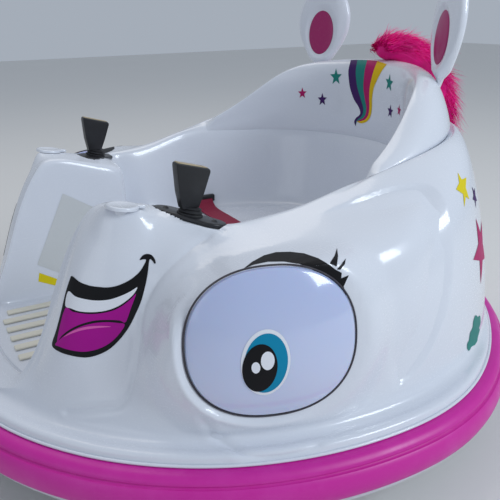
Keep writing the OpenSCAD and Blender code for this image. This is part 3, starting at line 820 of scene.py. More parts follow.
@dataclass
class Studio:
    """A plain pale floor under soft light from above and from the window side."""

    floor_half: float = 6.0
    floor_colour: Colour = (0.78, 0.77, 0.75)
    sky: Colour = (0.78, 0.87, 1.0)
    sky_strength: float = 0.48
    lamps: Tuple[Tuple[str, float, float, Colour, Point3], ...] = (
        ("window", 27.0, 0.9, (0.84, 0.92, 1.0), (1.9, 1.1, 1.5)),
        ("ceiling", 10.0, 1.4, (1.0, 0.94, 0.87), (-0.9, 0.1, 2.2)),
        ("fill", 2.5, 1.2, (0.92, 0.95, 1.0), (0.9, -2.2, 0.9)),
    )

    def build(self) -> None:
        """Make the floor, the world and the lamps."""
        self._floor()
        self._world()
        for name, watts, size, colour, position in self.lamps:
            self._lamp(name, watts, size, colour, Vector(position))
        bpy.context.scene.view_settings.view_transform = "Standard"

    def _floor(self) -> None:
        """Lay the floor just under the wheels."""
        form = Form()
        bmesh.ops.create_grid(form.bm, x_segments=1, y_segments=1, size=self.floor_half)
        bmesh.ops.translate(form.bm, verts=form.bm.verts[:], vec=(0, 0, -0.0005))
        mesh = bpy.data.meshes.new("floor")
        form.bm.to_mesh(mesh)
        graph = Graph("floor_pale")
        cloud = graph.noise(graph.place(), 3.0, 3.0)
        mesh.materials.append(graph.finish({
            "Base Color": graph.mix(cloud * 0.2, self.floor_colour, (0.72, 0.71, 0.69)),
            "Roughness": 0.85}))
        floor = bpy.data.objects.new("floor", mesh)
        bpy.context.scene.collection.objects.link(floor)

    def _world(self) -> None:
        """Light the surroundings evenly."""
        world = bpy.data.worlds.new("studio")
        world.use_nodes = True
        shade = world.node_tree.nodes["Background"]
        shade.inputs["Color"].default_value = (*self.sky, 1.0)
        shade.inputs["Strength"].default_value = self.sky_strength
        bpy.context.scene.world = world

    def _lamp(self, name: str, watts: float, size: float, colour: Colour, position: Vector) -> None:
        """Hang a square lamp that faces the car.

        Args:
            name: Its name.
            watts: Its power.
            size: Its edge in metres.
            colour: Its light.
            position: Its place in metres.
        """
        data = bpy.data.lights.new(name, "AREA")
        data.energy, data.size, data.color = watts, size, colour
        made = bpy.data.objects.new(name, data)
        aim = (Vector((0, 0, 0.2)) - position).to_track_quat("-Z", "Y")
        made.matrix_world = Matrix.Translation(position) @ aim.to_matrix().to_4x4()
        bpy.context.scene.collection.objects.link(made)


# The moulded body


SKIRT_R = 317.5
REAR_R = 297.0
WALL_R = 291.0
FLANGE_Z = 97.0
PLAN_RATIO = 1.063
SKIN_T = 3.0
SEAT_GAP = 0.3
SEAT_Z = 165.0
FLOOR_Z = 105.0
INNER_SEAM_Z = 275.0
CREST_Z = 374.0
CONSOLE_Z = 255.0
CONSOLE_RISE = 0.26
RIM_TOP = 52.0
SKIRT_Z = RIM_TOP + SEAT_GAP
LEDGE_DROP = 5.0


def console_top(angle: float, radius: float) -> float:
    """Give the height of a console's top at a place of the plan."""
    return CONSOLE_Z + CONSOLE_RISE * (radius * PLAN_RATIO * math.sin(math.radians(-angle)) - 100)


def gap_radius(angle: float) -> float:
    """Give the radius at which a direction meets the leg gap's wall."""
    return 100.0 / math.cos(math.radians(angle))


@dataclass(frozen=True)
class Station:
    """One section of the body: angle, shoulder, half-way point, rim, inner edge, wall curve."""

    angle: float
    shoulder: Point2
    middle: Point2
    rim: Point2
    inner: Point2
    bow: float


def stations() -> List[Station]:
    """List the sections from the rear centre to the front centre, on one side.

    Returns:
        The sections in order.
    """
    seam = INNER_SEAM_Z

    def top(angle: float, radius: float, at: Optional[float] = None) -> Point2:
        """Give a console's inner edge."""
        return radius, console_top(angle, radius if at is None else at)
    rows = [
        (90, (252, 300), (250, 307), (247, 310), (193, seam), 1.7),
        (78, (252, 300), (250, 307), (247, 310), (193, seam), 1.7),
        (66, (252, 300), (250, 307), (247, 310), (193, seam), 1.7),
        (55, (253, 299), (249, 306), (245, 310), (193, seam), 1.7),
        (46, (256, 295), (248, 304), (241, 308), (192, seam), 1.7),
        (38, (261, 286), (246, 299), (234, 305), (190, seam), 1.8),
        (30, (265, 275), (242, 292), (223, 300), (188, seam), 1.9),
        (22, (268, 264), (238, 281), (211, 293), (186, seam + 1), 2),
        (15, (270, 256), (234, 271), (201, 287), (185, seam + 3), 2),
        (8, (271, 249), (232, 263), (198, 278), (184, seam + 4), 2),
        (1, (271, 244), (232, 256), (197, 269), (182, 271), 2),
        (-7, (271, 241), (233, 251), (197, 261), (180, 263), 2),
        (-14, (271, 239), (236, 247), (199, 257), (180, 259), 2),
        (-20, (270, 237), (240, 244), (204, 255), (184, 257), 2),
        (-25, (268, 234), (242, 241), (210, 254), (193, 256), 2),
        (-28.5, (266, 230), (240, 238), (213, 254), (195, 256), 2),
        (-32, (265, 225), (226, 240), (208, 257), top(-32, 179), 1.9),
        (-36, (264, 216), (226, 240), (207, 261), top(-36, 160), 1.7),
        (-40, (262, 200), (228, 238), (210, 266), top(-40, 146), 1.5),
        (-44, (262, 170), (234, 230), (216, 269), top(-44, 142), 1.2),
        (-48, (256, 180), (240, 240), (224, 272), top(-48, gap_radius(-48), 150), 1.1),
        (-53, (258, 195), (244, 252), (228, 274), top(-53, gap_radius(-53), 166), 1),
        (-58, (265, 200), (244, 250), (222, 273), top(-58, gap_radius(-58), 189), 1),
        (-62, (262, 186), (243, 232), (221, 265), (gap_radius(-62), 271), 1),
        (-65, (268, 143), (257, 175), (246, 206), (gap_radius(-65) + 2, 224), 1),
        (-67.5, (283, 116), (275, 125), (268, 134), (gap_radius(-67.5), 145), 1),
        (-70, (290, 107), (286, 109), (284, 113), (gap_radius(-69.5) - 10, 117), 1),
        (-73, (294, 101), (289, 103), (282, 105), (272, 105), 1),
        (-78, (296, 100), (290, 103), (282, 105), (272, 105), 1),
        (-84, (297, 100), (291, 103), (283, 105), (272, 105), 1),
        (-90, (297, 100), (291, 103), (283, 105), (272, 105), 1),
    ]
    return [Station(*row) for row in rows]


# Radius of the backrest's crest, and its drop below the crest at the rear centre
CREST = ((214, 0), (213, 1), (209, 4), (203, 9), (197, 21), (192, 41), (189, 61), (188, 77),
         (188, 89.5), (189, 97))


def body_section(s: Station) -> List[Point2]:
    """Draw one section from the skirt over the rim to the middle of the floor.

    Args:
        s: The station.

    Returns:
        Radius and height of each control.
    """
    a = s.angle
    floor = float(lerp(FLOOR_Z, SEAT_Z, smooth((a + 29) / 9)))
    side = float(smooth((a + 45) / 15))
    foot = s.inner[0] - lerp(3, 15, side)
    fillet = lerp(8, 18, side)
    zi = s.inner[1]
    share = float(smooth((a + 71) / 5))
    base = (lerp(s.shoulder[0] + 2, WALL_R, share), lerp(s.shoulder[1] - 1, 106, share))
    flange = 1 - float(smooth((a - 6) / 42))
    skirt = lerp(REAR_R, SKIRT_R, flange)
    k = lerp((REAR_R - WALL_R) / (SKIRT_R - WALL_R), 1.0, flange)

    def step(y: float, most: float) -> float:
        """Give the radius of the seat pan's front step."""
        return most if a > -20 else min(most, y / math.sin(math.radians(-a)))
    if a >= 8:
        ledge = [(s.rim[0] - LEDGE_DROP, s.rim[1] - LEDGE_DROP * 0.6),
                 (lerp(s.inner[0], s.rim[0], 0.4), lerp(zi, s.rim[1], 0.35))]
    else:
        ledge = [(lerp(s.inner[0], s.rim[0], 0.6), max(s.rim[1], zi) + 1.5),
                 (lerp(s.inner[0], s.rim[0], 0.22), zi + 1)]
    return [
        (skirt, SKIRT_Z), (skirt, lerp(SKIRT_Z, FLANGE_Z, 0.5)), (skirt, FLANGE_Z - 5),
        (skirt - 2 * k, FLANGE_Z - lerp(3, 0, flange)),
        (skirt - 8 * k, FLANGE_Z + lerp(-0.5, 0.5, flange)),
        (skirt - 14 * k, FLANGE_Z + lerp(2, -2, flange)),
        (lerp(skirt - 18 * k, base[0], 0.5), FLANGE_Z + lerp(4, -0.5, flange)),
        (base[0] + 1, base[1] - 3),
        *[(lerp(base[0], s.shoulder[0], t ** s.bow), lerp(base[1], s.shoulder[1], t))
          for t in (0.12, 0.32, 0.54, 0.77, 1)],
        s.middle, s.rim, *ledge, (s.inner[0], zi - 3),
        (lerp(s.inner[0], foot, 0.25), lerp(zi, floor, 0.2)),
        (lerp(s.inner[0], foot, 0.65), lerp(zi, floor, 0.55)),
        (foot, floor + min(22, (zi - floor) * 0.3)),
        (foot - fillet * 0.35, floor + min(5, (zi - floor) * 0.1)),
        (foot - fillet, floor), (foot - fillet - 6, floor),
        (step(98, foot * 0.75), floor), (step(74, foot * 0.62), floor),
        (step(68, foot * 0.55), lerp(floor, SEAT_Z, 0.12)),
        (step(61, foot * 0.46), lerp(floor, SEAT_Z, 0.88)),
        (step(55, foot * 0.38), SEAT_Z), (step(40, foot * 0.2), SEAT_Z), (0.0, SEAT_Z),
    ]


FIRST_LEDGE = 15
LAST_LEDGE = 17


def backrest_section(s: Station, crest: Point2) -> List[Point2]:
    """Draw one section of the backrest from its outer seam over the crest to its inner one.

    Args:
        s: The station.
        crest: The crest's radius and drop.

    Returns:
        Radius and height of each control.
    """
    top = CREST_Z - crest[1]
    ro, zo = s.rim[0] - LEDGE_DROP, s.rim[1] - LEDGE_DROP * 0.6
    ri, zi = s.inner[0], s.inner[1] - 3
    rise = ((0.97, 0.2), (0.80, 0.55), (0.58, 0.84), (0.28, 0.98))
    fall = ((0.55, 0.975), (0.25, 0.90), (0.10, 0.76))
    return [(ro, zo), *[(lerp(crest[0], ro, r), lerp(zo, top, z)) for r, z in rise],
            (crest[0], top), *[(lerp(ri, crest[0], r), lerp(zi, top, z)) for r, z in fall],
            (ri + 1, lerp(zi, top, 0.45)), (ri, zi)]


def plan(angle: float, section: Sequence[Point2]) -> Array:
    """Turn a section into points of the car in millimetres."""
    a = math.radians(angle)
    return np.array([(r * math.cos(a), PLAN_RATIO * r * math.sin(a), z) for r, z in section])


def flipped(points: Array) -> Array:
    """Mirror points to the car's other side."""
    return points * np.array([-1.0, 1.0, 1.0])


def folded(points: Array) -> Array:
    """Bring points of both sides to the left one."""
    near = points.copy()
    near[:, 0] = np.abs(near[:, 0])
    return near


def spline_weights(t: Array) -> List[Array]:
    """Give the four weights of a cubic B-spline."""
    return [(1 - t) ** 3 / 6, (3 * t ** 3 - 6 * t * t + 4) / 6,
            (-3 * t ** 3 + 3 * t * t + 3 * t + 1) / 6, t ** 3 / 6]


@dataclass
class SplineNet:
    """A smooth surface over a net of control points, columns first."""

    net: Array
    wraps: bool

    def __post_init__(self) -> None:
        """Add a row beyond each end so that the surface reaches the end rows."""
        first = 2 * self.net[:, :1] - self.net[:, 1:2]
        last = 2 * self.net[:, -1:] - self.net[:, -2:-1]
        self.rows = self.net.shape[1]
        self.cols = self.net.shape[0]
        self.wide = np.concatenate([first, self.net, last], axis=1)

    def at(self, u: Array, v: Array) -> Array:
        """Give points at column places u and row places v, both counted in controls.

        Args:
            u: Column places on the net.
            v: Row places on the net.

        Returns:
            The points.
        """
        i = np.floor(u).astype(int)
        j = np.clip(np.floor(v).astype(int), 0, self.rows - 2)
        total = np.zeros((len(u), 3))
        for a, wa in enumerate(spline_weights(u - i)):
            col = i + a - 1
            col = col % self.cols if self.wraps else np.clip(col, 0, self.cols - 1)
            for b, wb in enumerate(spline_weights(v - j)):
                total += (wa * wb)[:, None] * self.wide[col, j + b]
        return total


@dataclass(frozen=True)
class EyePlace:
    """Where an eye lens sits on the body, in its own frame: X out of the lens, Z up along it."""

    width: float = 142.0
    height: float = 128.0
    dome: float = 17.0
    turn: float = -18.4
    tilt: float = 7.0
    seat: float = 288.0
    power: float = 2.3

    def middle(self) -> Array:
        """Give the middle of the lens seat in millimetres."""
        t = math.radians(self.turn)
        return np.array([self.seat * math.cos(t) - 5, self.seat * math.sin(t) - 16, 183.0])

    def axes(self) -> Array:
        """Give the frame's three directions as rows.

        Returns:
            Out of the lens, along it and up it.
        """
        t, k = math.radians(self.turn), math.radians(self.tilt)
        out = (math.cos(t) * math.cos(k), math.sin(t) * math.cos(k), math.sin(k))
        along = (-math.sin(t), math.cos(t), 0.0)
        up = (-math.cos(t) * math.sin(k), -math.sin(t) * math.sin(k), math.cos(k))
        return np.array([out, along, up])

    def local(self, points: Array) -> Array:
        """Bring points of the left side into the eye's frame."""
        return (points - self.middle()) @ self.axes().T

    def reach(self, angle: Array) -> Array:
        """Give the outline's radius in a direction of the lens, in radians.

        Args:
            angle: The directions.

        Returns:
            The radii in millimetres.
        """
        across = (np.abs(np.cos(angle)) / (self.width / 2)) ** self.power
        along = (np.abs(np.sin(angle)) / (self.height / 2)) ** self.power
        return (across + along) ** (-1 / self.power)

    def outside(self, local: Array) -> Array:
        """Give how far points lie outside the lens outline, in millimetres."""
        angle = np.arctan2(local[:, 2], local[:, 1])
        return np.hypot(local[:, 1], local[:, 2]) - self.reach(angle)

    def matrix(self) -> Matrix:
        """Give the lens frame with Z out of the lens, for pieces built flat."""
        return frame_at(self.middle(), ("Z", self.turn), ("Y", -self.tilt), ("X", 90), ("Y", 90))


EYE = EyePlace()


@dataclass(frozen=True)
class Seat:
    """A flat recess in the moulding that another piece stands in."""

    frame: Matrix
    straight: float
    radius: float
    depth: float
    boss: float = 11.0
    fill: float = 3.0

    def outside(self, points: Array) -> Tuple[Array, Array]:
        """Give points' distances outside the seat's outline and heights over its plane, in mm.

        Args:
            points: Points of the left side.

        Returns:
            Both measures of each point.
        """
        turn = np.array(self.frame.to_3x3())
        local = (points - np.array(self.frame.translation) / MM) @ turn
        beyond = np.maximum(np.abs(local[:, 0]) - self.straight / 2, 0.0)
        return np.hypot(beyond, local[:, 1]) - self.radius, local[:, 2]


@dataclass(frozen=True)
class Crease:
    """A line pressed into the moulding, drawn on the photograph."""

    pixels: Tuple[Point2, ...]
    depth: float
    width: float


@dataclass(frozen=True)
class Bevel:
    """A sloped band between two lines on the photograph, down to a panel that lies lower."""

    outer: Tuple[Point2, ...]
    inner: Tuple[Point2, ...]
    depth: float
    fade: float

    def lift(self, points: Array, outer: Array, inner: Array) -> Array:
        """Give how far the skin moves at each point, in millimetres.

        Args:
            points: Points of the skin near the band.
            outer: The band's outer line, as close samples.
            inner: Its inner line.

        Returns:
            Negative lifts: none outside, the full depth at the inner line, none far inside.
        """
        inwards = inner[nearest(outer, inner)[1]] - outer
        width = np.linalg.norm(inwards, axis=1)
        gap, at = nearest(points, outer)
        inside = ((points - outer[at]) * inwards[at]).sum(1) > 0
        share = np.clip(gap / np.maximum(width[at], 1.0), 0.0, 1.0) * inside
        beyond = np.maximum(gap - width[at], 0.0)
        faded = np.exp(-(beyond / self.fade) ** 2)
        return -self.depth * share * faded * smooth((width[at] - 1.0) / 6.0)


def nearest(points: Array, line: Array) -> Tuple[Array, Array]:
    """Give each point's distance to a line of close samples, and the nearest sample.

    Args:
        points: The points.
        line: The line's samples.

    Returns:
        The distances and the samples' numbers.
    """
    gaps = np.empty(len(points))
    found = np.empty(len(points), int)
    for start in range(0, len(points), 4000):
        some = points[start:start + 4000]
        size = np.linalg.norm(some[:, None] - line[None], axis=2)
        found[start:start + 4000] = size.argmin(1)
        gaps[start:start + 4000] = size.min(1)
    return gaps, found


@dataclass
class MouldedBody:
    """The white tub: one smooth skin with eye seats, creases and the seats of the controls."""

    camera: PhotoCamera
    seats: Sequence[Seat]
    column_steps: int = 6
    row_steps: int = 6
    ridge_height: float = 2.6
    ridge_out: float = 8.5
    ridge_width: float = 3.8
    refine_mm: Tuple[float, ...] = (5.0, 2.2)
    creases: Tuple[Crease, ...] = (
        Crease(((222, 232), (200, 242), (167, 270), (149, 295), (141, 320), (139, 346), (132, 385),
                (121, 405), (102, 409), (67, 412)), 1.3, 2.6),
        Crease(((204, 420), (211, 431), (222, 441.5), (242, 452.5), (262, 457.5), (285, 456),
                (303, 452), (318, 445)), 1.5, 3.2),
    )
    panel: Bevel = Bevel(
        ((300, 226), (322, 213), (345, 203), (368, 193.4), (390, 186.5), (410, 183.5), (425, 183.5),
         (433, 186.5), (440, 192.5), (446, 201), (450, 217), (452.5, 237), (453.4, 264),
         (452, 284), (447.4, 310.6), (438, 334.7), (430, 352), (418.3, 369), (394, 393.7)),
        ((300, 226.5), (322, 214.6), (345, 206), (368, 198), (390, 191.8), (410, 190), (424, 193.5),
         (430, 199), (435.4, 206.2), (440, 217), (442.7, 230.3), (443.8, 250.4), (443.4, 270.5),
         (441.4, 290.6), (437.4, 310.6), (430, 335.4), (418.3, 355), (408, 371.4), (394, 393.2)),
        5.4, 26.0)

    def __post_init__(self) -> None:
        """Lay out the control net of both sides."""
        half = [plan(s.angle, body_section(s)) for s in stations()]
        both = half + [flipped(column) for column in half[-2:0:-1]]
        self.net = SplineNet(np.array(both), True)

    def skin(self, u: Array, v: Array) -> Array:
        """Give the outer skin in millimetres, drawn out to the eyes' seats.

        Args:
            u: Column places on the net.
            v: Row places on the net.

        Returns:
            The points.
        """
        points = self.net.at(u, v)
        side = np.where(points[:, :1] < 0, -1.0, 1.0)
        near = points * np.hstack([side, np.ones((len(points), 2))])
        local = EYE.local(near)
        away = np.hypot(local[:, 1] / (EYE.width / 2), local[:, 2] / (EYE.height / 2))
        pull = ((1 - smooth((away - 1.16) / 0.5)) * smooth((local[:, 0] + 45) / 22)
                * smooth((near[:, 2] - FLANGE_Z - 2) / 10))
        near = near - EYE.axes()[0] * (local[:, 0] * pull)[:, None]
        return near * np.hstack([side, np.ones((len(points), 2))])

    def normals(self, u: Array, v: Array) -> Array:
        """Give the outward directions of the skin.

        Args:
            u: Column places on the net.
            v: Row places on the net.

        Returns:
            Unit directions.
        """
        small = 0.02
        cols, top = self.net.cols, self.net.rows - 1.0
        along = self.skin((u + small) % cols, v) - self.skin((u - small) % cols, v)
        across = self.skin(u, np.minimum(v + small, top)) - self.skin(u, np.maximum(v - small, 0.0))
        found = np.cross(across, along)
        size = np.linalg.norm(found, axis=1)
        lost = size < 1e-6
        found[lost] = (0, 0, 1)
        size[lost] = 1.0
        return found / size[:, None]

    def outer(self) -> Form:
        """Build the plain outer skin.

        Returns:
            The open sheet.
        """
        cols, rows = self.net.cols, self.net.rows - 1
        form = Form.grid(cols * self.column_steps, rows * self.row_steps,
                         lambda a, b: self.skin(a * cols, b * rows) * MM)
        return form.merged()

    def inner(self) -> Form:
        """Build the hidden side of the skin, coarser across.

        Returns:
            The open sheet.
        """
        cols, rows = self.net.cols, self.net.rows - 1

        def place(a: Array, b: Array) -> Array:
            """Move the skin in by its thickness and level its lower edge."""
            u, v = a * cols, b * rows
            points = self.skin(u, v) - SKIN_T * self.normals(u, v)
            points[:, 2] = np.where(b < 1e-9, SKIRT_Z, points[:, 2])
            return points * MM
        return Form.grid(cols * self.column_steps, rows, place).merged()

    def traced(self, pixels: Sequence[Point2], tree: BVHTree) -> Array:
        """Cast a line from the photograph onto the skin.

        Args:
            pixels: The line in photograph pixels.
            tree: The plain skin's faces.

        Returns:
            Points along the line in millimetres, closely spaced.
        """
        found = []
        for x, y in curve_through(pixels, 24):
            hit = tree.ray_cast(Vector(self.camera.position), self.camera.ray(x, y))[0]
            if hit is not None:
                found.append(np.array(hit) / MM)
        return np.array(found)

    def build(self) -> BVHTree:
        """Build the body with its relief and give the search tree for the stickers.

        Returns:
            The tree over the outer side.
        """
        form = self.outer()
        tree = form.tree()
        lines = [(crease, self.traced(crease.pixels, tree)) for crease in self.creases]
        edges = [self.traced(pixels, tree) for pixels in (self.panel.outer, self.panel.inner)]
        for reach in self.refine_mm:
            self._refine(form, [line for _, line in lines] + edges, reach)
        self._press(form, lines, edges)
        found = form.tree()
        form.joined(self.inner())
        form.bridged().outward()
        form.piece("body_skin", Paint.SHELL, stands_for=["body_shell"])
        return found

    @staticmethod
    def _points(form: Form) -> Array:
        """Give a form's vertices in millimetres."""
        return np.array([vert.co for vert in form.bm.verts]) / MM

    @staticmethod
    def _distance(points: Array, line: Array, limit: float) -> Array:
        """Give each point's distance to a line of close samples, or the limit if it is farther.

        Args:
            points: The points.
            line: The line's samples.
            limit: The largest distance told.

        Returns:
            The distances.
        """
        found = np.full(len(points), limit)
        low, high = line.min(0) - limit, line.max(0) + limit
        near = np.where(np.all((points > low) & (points < high), axis=1))[0]
        for start in range(0, len(near), 4000):
            some = near[start:start + 4000]
            gaps = np.linalg.norm(points[some][:, None] - line[None], axis=2).min(1)
            found[some] = np.minimum(gaps, limit)
        return found

    def _detail_distance(self, points: Array, lines: Sequence[Array]) -> Array:
        """Give each point's distance to the nearest fine detail of the relief.

        Args:
            points: The points.
            lines: The relief's lines.

        Returns:
            The distances.
        """
        near = folded(points)
        best = np.full(len(points), 50.0)
        for line in lines:
            best = np.minimum(best, self._distance(near, line, 50.0))
        local = EYE.local(near)
        ring = np.abs(EYE.outside(local) - self.ridge_out * 0.6)
        best = np.minimum(best, np.where(np.abs(local[:, 0]) < 30, np.maximum(ring - 5.0, 0), 50.0))
        for seat in self.seats:
            beyond, height = seat.outside(near)
            best = np.minimum(best, np.where(np.abs(height) < 12, np.abs(beyond), 50.0))
        return best

    def _refine(self, form: Form, lines: Sequence[Array], reach: float) -> None:
        """Cut the grid finer along the details, within a reach in millimetres.

        Args:
            form: The outer side.
            lines: The relief's lines.
            reach: The farthest edge that is cut.
        """
        form.bm.verts.index_update()
        close = self._detail_distance(self._points(form), lines) < reach
        edges = [edge for edge in form.bm.edges
                 if close[edge.verts[0].index] and close[edge.verts[1].index]]
        bmesh.ops.subdivide_edges(form.bm, edges=edges, cuts=1, use_grid_fill=True)

    def _press(self, form: Form, lines: Sequence[Tuple[Crease, Array]],
               edges: Sequence[Array]) -> None:
        """Press the relief into the skin along its normals.

        Args:
            form: The outer side.
            lines: The creases, each with its line.
            edges: The panel band's two lines.
        """
        form.bm.normal_update()
        points = self._points(form)
        near = folded(points)
        lift = np.zeros(len(points))
        for crease, line in lines:
            gap = self._distance(near, line, crease.width * 4)
            lift -= crease.depth * np.exp(-(gap / crease.width) ** 2)
            lift += 0.35 * crease.depth * np.exp(-((gap - 2.6 * crease.width) / crease.width) ** 2)
        reach = (self._distance(near, edges[0], 190.0) < 189.0) & (near[:, 0] > 100)
        lift[reach] += self.panel.lift(near[reach], *edges)
        local = EYE.local(near)
        out = EYE.outside(local)
        on_wall = smooth((local[:, 0] + 22) / 10) * smooth((near[:, 0] - 100) / 40)
        on_wall = on_wall * (1 - smooth((near[:, 1] - EYE.middle()[1]) / 34))
        ridge = np.exp(-((out - self.ridge_out) / self.ridge_width) ** 2)
        lift += on_wall * self.ridge_height * ridge
        lift -= on_wall * 0.8 * np.exp(-((out - 1.2) / 1.6) ** 2)
        normal = np.array([vert.normal for vert in form.bm.verts])
        outward = 1.0 if (normal * self._rough_outward(points)).sum() > 0 else -1.0
        moved = self._seated(points + normal * (lift * outward)[:, None])
        for vert, point in zip(form.bm.verts, moved * MM):
            vert.co = point

    def _rough_outward(self, points: Array) -> Array:
        """Give a rough outward direction: away from the car's middle, or up."""
        away = points - np.array([0, 0, 120.0])
        return away * [1, 1, 1.6]

    def _seated(self, points: Array) -> Array:
        """Sink the skin under the pieces that stand in seats.

        Args:
            points: The skin's points.

        Returns:
            The points, sunk at the seats.
        """
        side = np.where(points[:, 0] < 0, -1.0, 1.0)
        near = folded(points)
        for seat in self.seats:
            beyond, height = seat.outside(near)
            up = np.array(seat.frame.to_3x3())[:, 2]
            gap = -seat.depth - height
            swell = np.maximum(gap, 0.0) * (1 - smooth((gap - seat.fill) / (2.2 * seat.fill)))
            near = near + up * (swell * (1 - smooth((beyond - 1.0) / seat.boss)))[:, None]
            beyond, height = seat.outside(near)
            inside = (beyond < 0.7) & (np.abs(height) < 14)
            drop = np.where(inside, np.maximum(height + seat.depth, 0.0), 0.0)
            near = near - up * drop[:, None]
        near[:, 0] *= side
        return near


@dataclass
class Backrest:
    """The raised backrest that closes the rear of the tub, seated on the body's ledge."""

    body: MouldedBody
    column_steps: int = 12
    row_steps: int = 7
    end_columns: float = 0.7

    def __post_init__(self) -> None:
        """Lay out the control net over the stations that have a crest."""
        half = [plan(s.angle, backrest_section(s, c)) for s, c in zip(stations(), CREST)]
        both = [flipped(column) for column in half[:0:-1]] + half
        self.net = SplineNet(np.array(both), False)

    def build(self) -> BVHTree:
        """Build the shell and give the search tree for the stickers.

        Returns:
            The tree over the shell.
        """
        cols = self.net.cols - 3
        top_rows = self.net.rows - 1
        ledge_rows = LAST_LEDGE - FIRST_LEDGE
        total = top_rows + ledge_rows
        shift = len(CREST) - 2

        def place(a: Array, b: Array) -> Array:
            """Run over the crest, then back along the body's ledge."""
            u = 1 + a * cols
            v = b * total
            over = self.net.at(u, np.minimum(v, top_rows))
            row = LAST_LEDGE - np.clip(v - top_rows, 0, ledge_rows)
            under = self.body.skin((u - 1 - shift) % self.body.net.cols, row.astype(float))
            under[:, 2] += SEAT_GAP
            held = smooth(np.minimum(np.minimum(v, np.abs(v - top_rows)) / 0.6, 1.0))
            ends = np.minimum(a, 1 - a) * cols / self.end_columns
            held = held * (0.08 + 0.92 * np.sin(np.clip(ends, 0.0, 1.0) * math.pi / 2))
            foot_row = lerp(float(FIRST_LEDGE), float(LAST_LEDGE), smooth(v / top_rows))
            foot = self.body.skin((u - 1 - shift) % self.body.net.cols, foot_row)
            foot[:, 2] += SEAT_GAP
            over = lerp(foot, over, held[:, None])
            return np.where((v <= top_rows)[:, None], over, under) * MM
        form = Form.grid(cols * self.column_steps, total * self.row_steps, place)
        form.merged().closed().outward()
        found = form.tree()
        form.piece("backrest_skin", Paint.SHELL, stands_for=["backrest_shell"], sharp_deg=60.0)
        return found


# Bumper, eyes and ears


@dataclass
class BumperRing:
    """The soft magenta ring: a full roll with a crease and a thin band along its top."""

    body: MouldedBody
    thickness: float = 20.5
    bottom: float = RIM_TOP
    height: float = 34.0
    crease_drop: float = 7.5
    lip_radius: float = 1.5
    columns: int = 336
    profile_steps: int = 5

    def outline(self) -> Array:
        """Give the closed profile: distance out from the skirt, and height, in millimetres.

        Returns:
            The profile's points in order.
        """
        t, z = self.thickness, self.bottom
        crease = z + self.height - self.crease_drop
        roll = (crease - z) / 2
        top = z + self.height + 2
        arc = [(t * 0.6 + t * 0.4 * math.cos(math.radians(k)),
                z + roll * (1 + math.sin(math.radians(k)) / math.sin(math.radians(66))))
               for k in range(-60, 61, 15)]
        outer = [(t * 0.5, z + 0.2), *arc, (t * 0.74, crease - 0.6), (t * 0.66, crease + 0.4),
                 (t * 0.69, crease + 1.6), (t * 0.66, crease + 4.4), (t * 0.5, top - 1.9),
                 (t * 0.3, top - 0.5), (0.8, top - 0.1)]
        rounded = curve_through(outer, self.profile_steps)
        rounded[:, 0] = np.clip(rounded[:, 0], 0.6, t)
        rounded[:, 1] = np.clip(rounded[:, 1], z, top)
        back = np.array([(0.6, lerp(top, z, 0.3)), (0.6, lerp(top, z, 0.7)), (0.6, z)])
        return np.vstack([rounded, back, rounded[:1]])

    def skirt(self, share: Array) -> Tuple[Array, Array]:
        """Give the skirt's plan and its outward directions, by shares of the way round.

        Args:
            share: Shares from 0 to 1.

        Returns:
            Plan points and unit directions.
        """
        cols = self.body.net.cols
        small = 0.05

        def at(offset: float) -> Array:
            """Give the plan a little way along."""
            u = (share * cols + offset) % cols
            return self.body.skin(u, np.ones_like(u))[:, :2]
        along = at(small) - at(-small)
        out = np.stack([-along[:, 1], along[:, 0]], 1)
        return at(0.0), out / np.linalg.norm(out, axis=1)[:, None]

    def build(self) -> None:
        """Sweep the profile round the skirt."""
        line = self.outline()
        count = len(line) - 1

        def place(a: Array, b: Array) -> Array:
            """Stand the profile straight out from the skirt."""
            k = np.rint(b * count).astype(int)
            foot, out = self.skirt(a)
            flat = foot + out * line[k, :1]
            return np.hstack([flat, line[k, 1:]]) * MM
        form = Form.grid(self.columns, count, place).merged().outward()
        form.piece("bumper_band", Paint.BUMPER, stands_for=["bumper_ring"])
        self._lip().piece("skirt_lip", Paint.SHELL)

    def _lip(self) -> Form:
        """Build the body's rolled lip, which lies on the ring.

        Returns:
            The closed bead.
        """
        centre = self.bottom + self.height + 2 + self.lip_radius

        def place(a: Array, b: Array) -> Array:
            """Roll a small bead round the skirt."""
            foot, out = self.skirt(a)
            turn = b * 2 * math.pi
            flat = foot + out * (1.0 + self.lip_radius * np.cos(turn))[:, None]
            height = centre + self.lip_radius * np.sin(turn)
            return np.hstack([flat, height[:, None]]) * MM
        return Form.grid(self.columns, 12, place).merged().outward()


